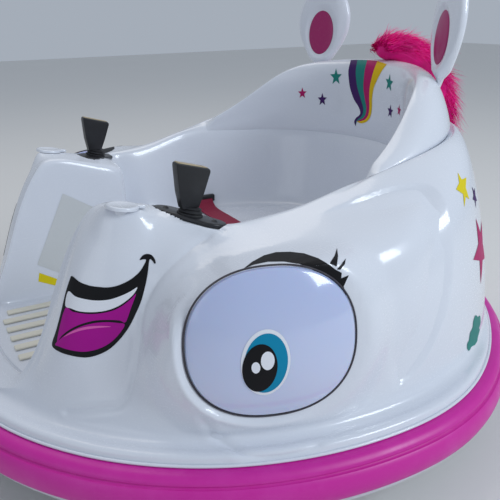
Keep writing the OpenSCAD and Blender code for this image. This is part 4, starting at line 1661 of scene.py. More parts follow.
@dataclass
class Eyes:
    """Two milky domes, each with a thin dark seam round it."""

    edge: float = 2.0
    rings: int = 40
    columns: int = 120
    gasket_width: float = 1.7
    gasket_height: float = 1.3
    gasket_steps: int = 8

    def dome(self) -> Form:
        """Build one lens, in the frame of the left eye.

        Returns:
            The left lens.
        """
        def place(a: Array, b: Array) -> Array:
            """Raise the middle over an even, rounded edge."""
            angle = a * 2 * math.pi
            share = np.minimum(b / 0.86, 1.0)
            drop = np.clip((b - 0.86) / 0.14, 0.0, 1.0)
            radius = EYE.reach(angle) * share
            height = self.edge + (EYE.dome - self.edge) * (1 - share ** 2.2)
            round_off = 0.9 * (1 - np.cos(drop * math.pi / 2))
            height = np.where(drop > 0, self.edge - self.edge * drop, height)
            radius = radius - np.where(drop > 0, 0.9 - round_off, 0.9 * share ** 12)
            return np.stack([radius * np.cos(angle), radius * np.sin(angle),
                             height + SEAT_GAP], 1) * MM
        form = Form.grid(self.columns, self.rings, place).merged().closed().outward()
        return form.moved(EYE.matrix())

    def gasket(self) -> Form:
        """Build the seam strip round one lens.

        Returns:
            The left seam.
        """
        def place(a: Array, b: Array) -> Array:
            """Bend a half-round strip to the outline."""
            angle = a * 2 * math.pi
            around = b * math.pi
            out = 0.3 + self.gasket_width / 2 * (1 - np.cos(around))
            up = self.gasket_height * np.sin(around)
            radius = EYE.reach(angle) + out
            return np.stack([radius * np.cos(angle), radius * np.sin(angle), up], 1) * MM
        form = Form.grid(self.columns, self.gasket_steps, place).merged().bridged().outward()
        return form.moved(EYE.matrix())

    def build(self) -> BVHTree:
        """Build both eyes and give the left lens's search tree.

        Returns:
            The tree over the left lens.
        """
        dome, gasket = self.dome(), self.gasket()
        found = dome.tree()
        dome.pair("lens_dome", Paint.LENS, "eye_lens")
        gasket.pair("lens_seam", Paint.GASKET, "eye_gasket")
        return found


@dataclass
class Ears:
    """Two upright ears with a dished front that holds a dark oval pad."""

    width: float = 80.0
    height: float = 126.0
    thickness: float = 17.0
    x: float = 118.0
    y: float = 203.0
    turn: float = 24.0
    foot: float = 24.0
    pad_half: Point2 = (19.0, 29.0)
    dish_depth: float = 3.2
    columns: int = 96
    rows: int = 80

    def matrix(self) -> Matrix:
        """Give the left ear's frame: Y backwards, Z up along the ear."""
        return frame_at((self.x, self.y, CREST_Z - self.foot), ("X", -6), ("Z", -self.turn))

    def half_width(self, t: Array) -> Array:
        """Give the half width at a share of the height.

        Args:
            t: Shares of the height.

        Returns:
            The half widths.
        """
        low = 0.2 + 0.8 * np.sin(np.radians(90 * t / 0.56))
        high = np.sqrt(np.maximum(0, 1 - np.maximum((t - 0.56) / 0.44, 0) ** 2))
        return self.width / 2 * np.where(t < 0.56, low, high)

    def shell(self) -> Form:
        """Build one ear as a closed pillow with a dished front.

        Returns:
            The left ear.
        """
        edge = self.thickness / 2

        def place(a: Array, b: Array) -> Array:
            """Wrap a rounded slab, then press the dish in."""
            angle = a * 2 * math.pi
            t = np.sin(b * math.pi / 2)
            flat = np.maximum(0.0, self.half_width(t) - edge)
            taper = np.sqrt(np.clip(1 - np.maximum(t - 0.93, 0) / 0.07, 0.0, 1.0))
            taper = taper * np.sqrt(np.clip(1 - np.maximum(0.1 - t, 0) / 0.105, 0.0, 1.0))
            c, s = np.cos(angle), np.sin(angle)
            x = np.sign(c) * np.abs(c) ** 0.55 * (flat + edge * np.abs(c) ** 0.45 * taper)
            y = -edge * np.sign(s) * np.abs(s) ** 0.72 * taper
            z = t * (self.height - 2 * edge) + edge
            z = np.where(t > 0.93, z + edge * (t - 0.93) / 0.07 * 0.9, z)
            z = np.where(b < 1e-9, 0.0, z)
            away = np.hypot(x / (self.pad_half[0] + 4),
                            (z - self.height * 0.43) / (self.pad_half[1] + 5))
            dish = self.dish_depth * (1 - smooth((away - 0.72) / 0.42))
            y = np.where(y < -edge * 0.3, y + dish, y)
            return np.stack([x, y, z], 1) * MM
        form = Form.grid(self.columns, self.rows, place)
        return form.merged(5e-5).closed().outward().moved(self.matrix())

    def pad(self) -> Form:
        """Build one oval pad, slightly domed, on the floor of the dish.

        Returns:
            The left pad.
        """
        def place(a: Array, b: Array) -> Array:
            """Dome a disc and roll its edge down."""
            angle = a * 2 * math.pi
            share = np.minimum(b / 0.85, 1.0)
            low = np.clip((b - 0.85) / 0.15, 0, 1)
            rise = 1.1 * (1 - share ** 4) + 1.0
            front = -self.thickness / 2 + self.dish_depth - rise * (1 - low)
            return np.stack([self.pad_half[0] * share * np.cos(angle), front,
                             self.height * 0.43 + self.pad_half[1] * share * np.sin(angle)], 1) * MM
        form = Form.grid(72, 24, place).merged().closed().outward()
        return form.moved(self.matrix())

    def build(self) -> None:
        """Build both ears and their pads."""
        self.shell().pair("ear_form", Paint.SHELL, "ear")
        self.pad().pair("ear_lining", Paint.EAR_PAD, "ear_pad")


# The mane


@dataclass
class Mane:
    """Long hot pink pile over a soft core, from between the ears down the back."""

    seed: int = 7
    strands: int = 8400
    segments: int = 6
    half_width: float = 34.0
    half_depth: float = 21.0
    crest_y: float = CREST[0][0] * PLAN_RATIO
    path: Tuple[Point3, ...] = (
        (-13, 11, 0.72), (12, 12, 0.9), (40, 0, 1.05), (69, -30, 1.2), (79, -66, 1.2),
        (82, -104, 0.9))

    def core(self) -> Form:
        """Build the felt core that fills the pile, smaller than the CAD core.

        Returns:
            The closed core.
        """
        line = curve_through(self.path, 8)

        def place(a: Array, b: Array) -> Array:
            """Sweep an oval along the path with closed ends."""
            k = np.rint(b * (len(line) - 1)).astype(int)
            mid = line[k]
            ahead = line[np.minimum(k + 1, len(line) - 1)] - line[np.maximum(k - 1, 0)]
            ahead = ahead[:, :2] / np.linalg.norm(ahead[:, :2], axis=1)[:, None]
            end = np.sqrt(np.clip(1 - np.abs(2 * b - 1) ** 8, 0, 1))
            angle = a * 2 * math.pi
            wide = 0.86 * self.half_width * mid[:, 2] * end * np.cos(angle)
            deep = 0.92 * self.half_depth * mid[:, 2] * end * np.sin(angle)
            return np.stack([wide, self.crest_y + mid[:, 0] - ahead[:, 1] * deep,
                             CREST_Z + mid[:, 1] + ahead[:, 0] * deep], 1) * MM
        form = Form.grid(40, len(line) - 1, place)
        return form.merged().closed().outward()

    def strand(self, rng: np.random.Generator, number: int) -> Form:
        """Build one tapered ribbon of pile, combed back and outwards.

        Args:
            rng: The source of its draws.
            number: Its number, which sets its tone.

        Returns:
            The ribbon.
        """
        along = rng.uniform(0, 1)
        line = curve_through(self.path, 8)
        k = int(along * (len(line) - 2))
        mid, ahead = line[k], line[k + 1] - line[k]
        ahead = np.array([0.0, ahead[0], ahead[1]]) / np.hypot(ahead[0], ahead[1])
        off = np.array([0.0, -ahead[2], ahead[1]])
        around = rng.uniform(-0.15, math.pi + 0.15)
        share = rng.uniform(0.35, 0.86)
        root = np.array([0.0, self.crest_y + mid[0], CREST_Z + mid[1]])
        side = np.array([1.0, 0.0, 0.0])
        away = side * math.cos(around) + off * math.sin(around)
        root = root + share * (side * self.half_width * math.cos(around)
                               + off * self.half_depth * math.sin(around)) * mid[2]
        length = rng.uniform(14, 28) + 8 * min(1.0, along * 2.2)
        grow = away * rng.uniform(0.15, 0.62) + ahead * rng.uniform(0.5, 1.2)
        grow = grow + rng.normal(0, 0.17, 3)
        grow = grow / np.linalg.norm(grow)
        droop = np.array([0, 0.25, -1.0]) * rng.uniform(0.1, 0.5)
        wave = rng.normal(0, 1, 3)
        phase = rng.uniform(0, 2 * math.pi)
        width = rng.uniform(0.5, 1.15)
        across = np.cross(grow, wave)
        across = across / np.linalg.norm(across)

        def place(a: Array, b: Array) -> Array:
            """Run the ribbon from its root to its tip."""
            middle = (root + np.outer(b * length, grow) + np.outer(b * b * length * 0.7, droop)
                      + np.outer(np.sin(b * 5 + phase) * b * 1.8, across))
            half = np.outer((a - 0.5) * width * (1.05 - b), np.cross(grow, across))
            return (middle + half) * MM
        form = Form.grid(1, self.segments, place, (1.0, 1.0))
        layer = form.bm.loops.layers.uv.active
        for face in form.bm.faces:
            for loop in face.loops:
                loop[layer].uv.x = number * 0.0137 % 1.0
        return form

    def build(self) -> None:
        """Build the core and the pile."""
        rng = np.random.default_rng(self.seed)
        self.core().piece("mane_core", Paint.MANE, stands_for=["mane"])
        pile = Form()
        pile.bm.loops.layers.uv.new("UVMap")
        holder = bpy.data.meshes.new("strand")
        for number in range(self.strands):
            strand = self.strand(rng, number)
            strand.bm.to_mesh(holder)
            strand.bm.free()
            pile.bm.from_mesh(holder)
        bpy.data.meshes.remove(holder)
        pile.piece("mane_pile", Paint.MANE, sharp_deg=180.0, slotted=True)


# Controls, belt and footwell


STICK_SLOPE = math.degrees(math.atan(CONSOLE_RISE))
STICK_AT = (150.0, -124.0, CONSOLE_Z + CONSOLE_RISE * 22 - 1.5)
CAP_AT = (141.0, -183.0, CONSOLE_Z + CONSOLE_RISE * 83 - 0.5)
BEZEL_TURN = 40.0


def bezel_frame() -> Matrix:
    """Give the left joystick bezel's frame."""
    return frame_at(STICK_AT, ("X", -STICK_SLOPE), ("Z", BEZEL_TURN))


def cap_frame() -> Matrix:
    """Give the left console cap's frame."""
    return frame_at(CAP_AT, ("X", -8.0))


@dataclass
class Joysticks:
    """Two paddle joysticks, each in a stadium bezel with a folded boot."""

    plate: Point3 = (72.0, 28.0, 4.0)
    boot_r: float = 12.0
    boot_h: float = 11.5
    stick_h: float = 54.0
    stick_w: float = 33.0
    stick_t: float = 12.0
    screw_r: float = 3.2

    def bezel(self) -> Form:
        """Build the plate with rounded edges and two sunk screws.

        Returns:
            The plate, flat on z = 0.
        """
        half = (self.plate[0] - self.plate[1]) / 2
        r = self.plate[1] / 2
        ends = [(s * half + r * math.cos(math.radians(k)), r * math.sin(math.radians(k)))
                for s, first in ((1, -90), (-1, 90)) for k in range(first, first + 181, 12)]
        form = Form.prism([(x * MM, y * MM) for x, y in ends], self.plate[2] * MM)
        form.merged(FINE_WELD).bevelled(0.0014, 3, 50)
        for side in (-1, 1):
            form.joined(self._screw().moved(frame_at((side * (half + 3), 0, self.plate[2] - 0.9))))
        return form

    def _screw(self) -> Form:
        """Build a pan-head screw with a cross recess.

        Returns:
            The screw, upright on z = 0.
        """
        r = self.screw_r * MM
        form = Form.lathe([(0, 0), (r, 0), (r, r * 0.3), (r * 0.7, r * 0.55), (0, r * 0.62)], 20)
        for turn in (0, 90):
            slot = Form.block((r * 1.1, r * 0.26, r * 0.1), (0, 0, r * 0.62))
            form.joined(slot.moved(Matrix.Rotation(math.radians(turn), 4, "Z")))
        return form

    def boot(self) -> Form:
        """Build the rubber boot with two folds and an open top.

        Returns:
            The boot, upright on z = 0.
        """
        top = 9.5
        folds = [(self.boot_r, 3.6), (self.boot_r, 5.0)]
        for k in range(2):
            base = lerp(self.boot_r, top, (k + 1) / 2)
            z = 5.0 + (self.boot_h - 5.0) * (k + 0.3) / 2
            folds += [(base - 0.9, z), (base + 0.4, z + 0.8), (base + 0.1, z + 1.3)]
        line = curve_through(folds, 4)
        line = np.vstack([[(0.0, 3.6)], line, [(top - 2.2, self.boot_h), (0.0, self.boot_h)]])
        line[:, 1] = np.minimum(line[:, 1], self.boot_h)
        return Form.lathe([tuple(p * MM) for p in line], 40)

    def grip(self) -> Form:
        """Build the paddle of one stick.

        Returns:
            The left paddle with its shaft.
        """
        h, w = self.stick_h, self.stick_w
        outline = [(-7.6, 10.8), (8.2, 10.8), (14.2, 24), (w * 0.63, h - 13), (w * 0.64, h - 11),
                   (w * 0.59, h - 8.8), (-w * 0.29, h - 0.6), (-w * 0.33, h - 1.6),
                   (-w * 0.34, h - 4), (-w * 0.31, h * 0.5)]
        form = Form.prism([(x * MM, y * MM) for x, y in outline], self.stick_t * MM)
        form.bevelled(0.0018, 4, 25)
        form.moved(frame_at((-self.stick_t / 2, 0, 0), ("Z", 90), ("X", 90)))
        shaft = Form.lathe([(0, 0.004), (0.004, 0.004), (0.004, 0.019), (0, 0.019)], 24)
        return form.joined(shaft).moved(frame_at(STICK_AT))

    def worn_top(self) -> Form:
        """Build the painted highlight: a tan pad along the paddle's slanted top, standing for light
        on its gloss.

        Returns:
            The left stick's pad.
        """
        run, fall = self.stick_w * 0.86, 8.2
        length = math.hypot(run, fall)
        pad = Form.block(((self.stick_t - 2.4) * MM, length * MM, 0.0012), (0, 0, 0))
        pad.bevelled(0.0005, 2)
        middle = (0, self.stick_w * 0.145, self.stick_h - 0.6 - fall / 2)
        tilted = frame_at(middle, ("X", -math.degrees(math.atan2(fall, run))))
        return pad.moved(tilted).moved(frame_at(STICK_AT))

    def build(self) -> None:
        """Build both sets."""
        self.bezel().moved(bezel_frame()).pair("bezel_plate", Paint.CONTROL, "stick_bezel")
        self.boot().moved(bezel_frame()).pair("boot", Paint.WHEEL)
        self.grip().pair("stick_grip", Paint.CONTROL, "joystick", "joystick_{}_body")
        # The tan pad is a painted highlight on each paddle's glossy top.
        self.worn_top().pair("stick_highlight", Paint.WORN_TOP, body="joystick_{}_body")


@dataclass
class ConsoleCaps:
    """The round white cap at each console's front end, with its hinge tongue."""

    radius: float = 14.5

    def build(self) -> None:
        """Build both caps."""
        r = self.radius
        disc = Form.lathe([(x * MM, z * MM) for x, z in (
            (0, -8), (7.9, -8), (7.9, 0.2), (r, 0.2), (r, 2.4), (r - 0.9, 3.4), (r - 2.4, 3.5),
            (r - 3.4, 2.9), (0, 2.8))], 56)
        tongue = Form.block((0.008, 0.0075, 0.003), (0, (r + 2.2) * MM, 0.0018)).bevelled(0.0009, 3)
        disc.joined(tongue).moved(cap_frame()).pair("cap", Paint.SHELL, "console_cap")


@dataclass
class LapBelt:
    """A webbing strap from each side of the tub to a buckle over the seat pan."""

    width: float = 25.0
    thickness: float = 1.4
    y: float = 30.0
    buckle: Point3 = (44.0, 34.0, 12.0)
    anchor: Point3 = (7.0, 36.0, 10.0)
    anchor_x: float = 157.0
    anchor_h: float = 9.0
    path: Tuple[Point2, ...] = ((152.5, 12.5), (150.0, 10.0), (146.5, 6.2), (141.0, 3.2),
                                (132.0, 1.6), (115.0, 1.2), (80.0, 1.6), (50.0, 0.9), (22.3, 2.5))

    def strap(self) -> Form:
        """Build the left strap as a soft closed band.

        Returns:
            The left strap.
        """
        line = curve_through(self.path, 6)
        count = len(line) - 1
        travel = np.concatenate([[0], np.cumsum(np.linalg.norm(np.diff(line, axis=0), axis=1))])

        def place(a: Array, b: Array) -> Array:
            """Lay the band along its path with a slight crown and rolled edges."""
            k = np.rint(b * count).astype(int)
            mid = line[k]
            across = (a - 0.5) * self.width
            lift = 0.35 * np.sin(travel[k] / 17.0) * np.sin(travel[k] / travel[-1] * math.pi)
            z = np.maximum(mid[:, 1] + lift, 0.6)
            return np.stack([mid[:, 0], self.y + across, SEAT_Z + z], 1) * MM
        form = Form.grid(8, count, place, (self.width, float(travel[-1])))
        bmesh.ops.solidify(form.bm, geom=form.bm.faces[:], thickness=-self.thickness * MM)
        return form.outward()

    def buckle_forms(self) -> Tuple[Form, Form]:
        """Build the buckle's body and its release key.

        Returns:
            The body and the key.
        """
        w, d, h = (x * MM for x in self.buckle)
        centre = (0, self.y * MM, SEAT_Z * MM + SEAT_GAP * MM + h / 2)
        body = Form.block((w, d, h), centre).bevelled(0.0028, 4)
        key = Form.block((w * 0.34, d * 0.6, 0.0024),
                         (w * 0.16, self.y * MM, centre[2] + h / 2 - 0.0006))
        return body, key.bevelled(0.0009, 3)

    def build(self) -> None:
        """Build the straps, the buckle and the anchors."""
        self.strap().pair("strap", Paint.STRAP, "belt")
        body, key = self.buckle_forms()
        body.piece("buckle_body", Paint.CONTROL, stands_for=["belt_buckle"])
        key.piece("buckle_key", Paint.MAGENTA)
        anchors = Form()
        height = SEAT_Z + self.anchor_h + self.anchor[2] / 2
        for side in (-1, 1):
            middle = (side * self.anchor_x * MM, self.y * MM, height * MM)
            block = Form.block([size * MM for size in self.anchor], middle)
            anchors.joined(block.bevelled(0.0016, 3))
        anchors.piece("strap_anchors", Paint.CONTROL, stands_for=["belt_anchors"])


@dataclass
class Footwell:
    """Treads along the footwell floor, tinted cream by painted warm reflection, shorter towards its
    rounded front corners.
    """

    first: float = 276.0
    last: float = 139.5
    pitch: float = 23.0
    each_side: int = 3
    straight: float = 52.0
    width: float = 11.0
    height: float = 2.5

    def build(self) -> None:
        """Build the treads with rounded tops."""
        treads = Form()
        for k in range(-self.each_side, self.each_side + 1):
            x = k * self.pitch
            front = self.first - (max(0.0, abs(x) + self.width / 2 - self.straight) / 8) ** 2
            block = Form.block((self.width * MM, (front - self.last) * MM, self.height * MM),
                               (x * MM, -(front + self.last) / 2 * MM,
                                (FLOOR_Z + SEAT_GAP + self.height / 2) * MM))
            treads.joined(block.bevelled(0.0012, 3))
        treads.piece("treads", Paint.TREAD, stands_for=["footwell_ribs"])


# Stickers


class Target(Enum):
    """The surface that a sticker lies on."""

    BODY = "body"
    BACKREST = "backrest"
    LENS = "lens"


class Throw(Enum):
    """How a sticker's flat outline is thrown onto its surface."""

    PHOTO = "pixels of the photograph, along the camera's rays"
    INWARD = "millimetres round the rear quarter and up, towards the car's upright axis"
    ACROSS = "millimetres along and up, from the middle towards the car's right"


@dataclass(frozen=True)
class Sticker:
    """A flat printed shape, drawn on the photograph and laid on the surface behind it."""

    name: str
    outline: Tuple[Point2, ...]
    paint: Paint
    target: Target
    layer: int = 0
    curved: bool = True
    both_sides: bool = True
    throw: Throw = Throw.PHOTO


def oval(x: float, y: float, half_w: float, half_h: float, tilt: float = 0.0) -> Tuple[Point2, ...]:
    """Draw an oval of pixels.

    Args:
        x: Its middle across the picture.
        y: Its middle down the picture.
        half_w: Half its width.
        half_h: Half its height.
        tilt: Its turn in degrees.

    Returns:
        Its corners.
    """
    c, s = math.cos(math.radians(tilt)), math.sin(math.radians(tilt))
    out = []
    for k in range(0, 360, 15):
        px, py = half_w * math.cos(math.radians(k)), half_h * math.sin(math.radians(k))
        out.append((x + px * c - py * s, y + px * s + py * c))
    return tuple(out)


def star(x: float, y: float, half_w: float, half_h: float, lean: float = 0.0) -> Tuple[Point2, ...]:
    """Draw a five-pointed star of pixels.

    Args:
        x: Its middle across the picture.
        y: Its middle down the picture.
        half_w: Half its width.
        half_h: Half its height.
        lean: Its turn in degrees.

    Returns:
        Its corners.
    """
    out = []
    for k in range(10):
        size = 1.0 if k % 2 == 0 else 0.42
        angle = math.radians(-90 + k * 36 + lean)
        out.append((x + half_w * size * math.cos(angle), y + half_h * size * math.sin(angle)))
    return tuple(out)


def between(left: Sequence[Point2], right: Sequence[Point2]) -> Tuple[Point2, ...]:
    """Close a band between two edges that run the same way."""
    return tuple(left) + tuple(reversed(tuple(right)))


HORN_EDGES = (
    ((350.9, 60.2), (348.6, 70.0), (348.8, 78.0), (350.2, 87.9), (353.9, 99.0), (358.8, 107.0),
     (360.4, 112.6), (359.0, 115.6), (356.2, 117.8), (354.4, 121.4), (355.5, 126.2)),
    ((357.6, 60.0), (356.0, 70.0), (356.2, 78.0), (357.6, 87.9), (360.9, 99.0), (363.2, 107.0),
     (363.2, 112.6), (361.4, 116.6), (358.4, 119.0), (356.4, 121.6), (355.8, 125.2)),
    ((367.3, 60.2), (365.0, 70.0), (364.1, 78.0), (363.6, 87.9), (365.0, 99.0), (366.5, 107.0),
     (366.0, 113.6), (363.8, 117.6), (360.4, 119.6), (358.2, 120.8), (357.0, 121.4)),
    ((377.5, 61.1), (374.4, 69.0), (371.8, 78.0), (369.8, 87.9), (369.4, 99.0), (369.6, 107.0),
     (368.6, 114.4), (365.8, 119.0), (361.8, 120.9), (359.4, 121.2), (357.4, 121.4)),
    ((386.9, 64.3), (382.6, 70.0), (378.2, 78.0), (373.9, 87.9), (372.2, 99.0), (372.1, 107.0),
     (370.8, 115.6), (367.6, 121.0), (362.6, 123.2), (359.6, 122.8), (357.2, 121.8)),
)

MOUTH = (
    (72.3, 276.1), (79.8, 281.9), (89.8, 285.6), (99.7, 287), (106.3, 287.4), (114.6, 286.4),
    (122.9, 283.5), (131.2, 279), (139.5, 271.9), (144.5, 264), (146.1, 259.9), (143.6, 259.3),
    (139.9, 260.1), (140.7, 257.8), (143.6, 254.9), (147.8, 253.9), (151.9, 255.3), (154.8, 259.1),
    (155.8, 262.8), (154.4, 263.6), (152.4, 260.7), (149.5, 259.9), (147.8, 273.2), (145.3, 286.4),
    (141.2, 301.4), (136.2, 313), (129.6, 326.2), (121.3, 337.8), (111.3, 347.8), (101.4, 353.6),
    (89.8, 357.1), (79.8, 357.1), (68.2, 354.8), (59.9, 351.9), (53.7, 347.8), (52.4, 342.8),
    (56.6, 329.6), (61.6, 310.5), (65.7, 293.1), (69.9, 279.8))
TEETH = (
    (68.6, 291.4), (75.7, 296.4), (86.4, 299.3), (98, 300.5), (110.5, 299.3), (122.9, 295.1),
    (131.2, 291), (137.4, 287.3), (134.5, 293.1), (127.9, 299.7), (117.9, 306.3), (106.3, 310.5),
    (93.1, 312.1), (79.8, 311.3), (71.5, 308.4), (65.7, 305.5))
PALATE = (
    (65.3, 308.8), (73.2, 311.7), (86.4, 313.8), (99.7, 313.4), (113, 310.5), (122.9, 305.5),
    (131.2, 298.9), (136.2, 293.9), (131.2, 308), (125.8, 322.1), (119.6, 320.4), (106.3, 319.8),
    (93.1, 320.8), (79.8, 324.6), (69.9, 329.6), (62.4, 335.4), (57.4, 340.7))
TONGUE = (
    (67.4, 333.7), (79.8, 327.1), (93.1, 323.3), (106.3, 322.1), (117.9, 322.9), (125, 324.6),
    (119.6, 333.7), (111.3, 342), (101.4, 347.8), (89.7, 351.1), (79.8, 351.5), (68.2, 349.5),
    (59.9, 346.6), (55.8, 343.7))
TONGUE_SHINE = (
    (64, 337), (73.2, 330.8), (86.4, 326.7), (101.4, 325.8), (111.3, 326.7), (98, 327.9),
    (83.1, 330), (71.5, 333.7))
SPLASH = (
    (474.8, 316), (476.2, 315.3), (477.6, 317), (479.8, 315.7), (480.3, 322.7), (478.9, 328),
    (479.5, 330), (477.5, 337.4), (477.1, 340.8), (474.8, 344.8), (473.5, 345.5), (471.2, 346.8),
    (470.2, 348.8), (468.4, 350.8), (467, 348.1), (467.2, 343.4), (468.8, 340.1), (469.8, 333.4),
    (471.2, 330.1), (472.6, 326.7), (473.1, 321.4))


class Stickers:
    """Every printed shape of the face, the tub and the rear quarters."""

    quarter_radius: float = 285.0
    cell: float = 1.5
    longest: float = 2.4
    finer_passes: int = 4
    lift_first: float = 0.34
    lift_layer: float = 0.16

    def __init__(self, camera: PhotoCamera, trees: Mapping[Target, BVHTree]) -> None:
        """Keep the camera and the surfaces that stickers are laid on."""
        self.camera = camera
        self.trees = trees

    def listed(self) -> List[Sticker]:
        """List the stickers, lowest layers first."""
        return self._horn() + self._stars() + self._eye() + self._mouth() + self._labels()

    def _horn(self) -> List[Sticker]:
        """The four-striped horn on the inside of the backrest."""
        inks = (Paint.PURPLE, Paint.TEAL, Paint.MAGENTA, Paint.GOLD)
        return [Sticker(f"horn_stripe_{k + 1}",
                        between([tuple(p) for p in curve_through(HORN_EDGES[k], 4)],
                                [tuple(p) for p in curve_through(HORN_EDGES[k + 1], 4)]),
                        ink, Target.BACKREST, curved=False, both_sides=False)
                for k, ink in enumerate(inks)]

    def _stars(self) -> List[Sticker]:
        """Stars beside the horn and on the rear quarters."""
        return [
            self._horn_star("star_teal", (336.1, 77.0), (6.0, 8.6), Paint.TEAL),
            self._horn_star("star_purple", (322.4, 99.6), (4.8, 6.8), Paint.PURPLE),
            self._horn_star("star_pink", (302.4, 93.2), (4.6, 5.8), Paint.MAGENTA),
            self._horn_star("star_teal_near", (389.4, 83.0), (3.9, 9.2), Paint.TEAL, 10.0),
            self._horn_star("star_purple_near", (390.4, 111.4), (2.9, 7.2), Paint.PURPLE, 10.0),
            self._horn_star("star_pink_near", (399.2, 110.4), (1.9, 6.0), Paint.MAGENTA, 10.0),
            Sticker("star_yellow", ((457.6, 172.7), (461.6, 179.6), (466.1, 177.6), (465.5, 187.5),
                                    (469.0, 199.2), (465.5, 196.6), (464.2, 207.3), (462.9, 194.2),
                                    (455.9, 189.4), (459.0, 182.9)),
                    Paint.YELLOW, Target.BODY, curved=False),
            self._rear_star("star_dark", 37.0, 253.0, 12.0, Paint.PURPLE),
            self._rear_star("star_magenta", 37.0, 198.0, 37.5, Paint.MAGENTA),
            Sticker("splash_teal", SPLASH, Paint.TEAL, Target.BODY),
        ]

    @staticmethod
    def _horn_star(name: str, middle: Point2, half: Point2, paint: Paint,
                   lean: float = 0.0) -> Sticker:
        """Place a star on the backrest's front, on one side only."""
        outline = star(*middle, *half, lean)
        return Sticker(name, outline, paint, Target.BACKREST, curved=False, both_sides=False)

    @staticmethod
    def _rear_star(name: str, angle: float, height: float, radius: float, paint: Paint) -> Sticker:
        """Place a star on the rear quarter, one tip forwards, by its plan angle and height.

        Args:
            name: Its name.
            angle: Its middle's plan angle.
            height: Its middle's height.
            radius: Its tips' radius.
            paint: Its ink.

        Returns:
            The sticker.
        """
        middle = math.radians(angle) * Stickers.quarter_radius
        outline = star(middle, height, radius, radius, -90.0)
        return Sticker(name, outline, paint, Target.BODY, curved=False, throw=Throw.INWARD)

    def _eye(self) -> List[Sticker]:
        """The printed eye on the lens, and the lashes over it."""
        lid = ((243.6, 269.0), (252, 262.2), (264, 255.6), (276, 252.4), (290, 252.0), (304, 253.6),
               (318, 258.4), (329.5, 265.0), (335.2, 269.4), (341.6, 272.8), (341.2, 278.2),
               (348.6, 275.2), (343.6, 286.4), (346.6, 297.4), (338, 288.6), (326, 278.2),
               (312, 269.4), (300, 264.2), (284, 261.6), (268, 261.8), (254, 264.8))
        return [
            Sticker("eye_ring", oval(265.6, 362.0, 24.6, 33.0, 9), Paint.WHITE, Target.LENS, 0),
            Sticker("eye_iris", oval(266.0, 362.8, 21.6, 29.7, 9), Paint.IRIS, Target.LENS, 1),
            Sticker("eye_pupil", oval(259.8, 367.6, 17.4, 23.8, 10), Paint.BLACK, Target.LENS, 2),
            Sticker("eye_glint_large", oval(267.6, 360.4, 6.8, 9.2, 4), Paint.WHITE,
                    Target.LENS, 3),
            Sticker("eye_glint_small", oval(255.8, 367.4, 4.4, 5.6), Paint.WHITE, Target.LENS, 3),
            Sticker("eyelid", lid, Paint.BLACK, Target.BODY, 0, False),
            Sticker("lash_long", ((329.6, 263.6), (334.6, 256.0), (337.0, 248.4), (338.0, 256.4),
                                  (336.6, 266.6)), Paint.BLACK, Target.BODY, 0, False),
            Sticker("lash_short", ((336.8, 269.4), (341.6, 263.8), (345.8, 258.6), (344.6, 264.4),
                                   (340.0, 269.8)), Paint.BLACK, Target.BODY, 0, False),
        ]

    def _mouth(self) -> List[Sticker]:
        """The open smile round each console's front."""
        return [
            Sticker("mouth", MOUTH, Paint.BLACK, Target.BODY, 0),
            Sticker("teeth", TEETH, Paint.WHITE, Target.BODY, 1),
            Sticker("palate", PALATE, Paint.MOUTH, Target.BODY, 1),
            Sticker("tongue", TONGUE, Paint.MOUTH, Target.BODY, 1),
            Sticker("tongue_shine", TONGUE_SHINE, Paint.TONGUE, Target.BODY, 2),
        ]

    def _labels(self) -> List[Sticker]:
        """The two blank plates on the far console's inner wall."""
        return [
            Sticker("label_console", ((-181, 232), (-222, 148), (-174, 117), (-133, 201)),
                    Paint.LABEL, Target.BODY, 0, False, False, Throw.ACROSS),
            Sticker("label_strip", ((-221, 137), (-223.5, 126), (-190, 109.5), (-187, 116)),
                    Paint.YELLOW, Target.BODY, 0, False, False, Throw.ACROSS),
        ]

    def _cast(self, sticker: Sticker, x: float, y: float) -> Optional[Tuple[Vector, Vector]]:
        """Find where a place of a sticker's outline meets its surface.

        Args:
            sticker: The sticker, which says how it is thrown.
            x: First coordinate of the outline's own plane.
            y: Second coordinate.

        Returns:
            The point and the direction that faces the caster, or None if the ray misses.
        """
        if sticker.throw is Throw.PHOTO:
            start, way = Vector(self.camera.position), self.camera.ray(x, y)
        elif sticker.throw is Throw.ACROSS:
            start, way = Vector((0.0, x, y)) * MM, Vector((-1.0, 0.0, 0.0))
        else:
            angle = x / self.quarter_radius
            way = Vector((-math.cos(angle), -math.sin(angle), 0.0))
            start = Vector((0.0, 0.0, y * MM)) - way * 0.6
        hit, normal, _, _ = self.trees[sticker.target].ray_cast(start, way)
        if hit is None:
            return None
        return hit, (-normal if normal.dot(way) > 0 else normal)

    def _flat(self, sticker: Sticker) -> Form:
        """Draw a sticker flat in its outline's own plane, cut into small cells.

        Args:
            sticker: The sticker.

        Returns:
            The sheet at z = 0.
        """
        outline = curve_through(sticker.outline, 4, True) if sticker.curved else sticker.outline
        form = Form()
        form.bm.faces.new([form.bm.verts.new((x, y, 0.0)) for x, y in outline]).normal_update()
        points = np.array([vert.co for vert in form.bm.verts])
        low, high = points.min(0), points.max(0)
        bmesh.ops.triangulate(form.bm, faces=form.bm.faces[:])
        step = self.cell if sticker.throw is Throw.PHOTO else self.cell * 2
        for axis, normal in enumerate((Vector((1, 0, 0)), Vector((0, 1, 0)))):
            for cut in np.arange(math.floor(low[axis]) + 0.5, high[axis], step):
                bmesh.ops.bisect_plane(form.bm, geom=form.bm.verts[:] + form.bm.edges[:]
                                       + form.bm.faces[:], dist=1e-5, plane_co=normal * float(cut),
                                       plane_no=normal)
        return form

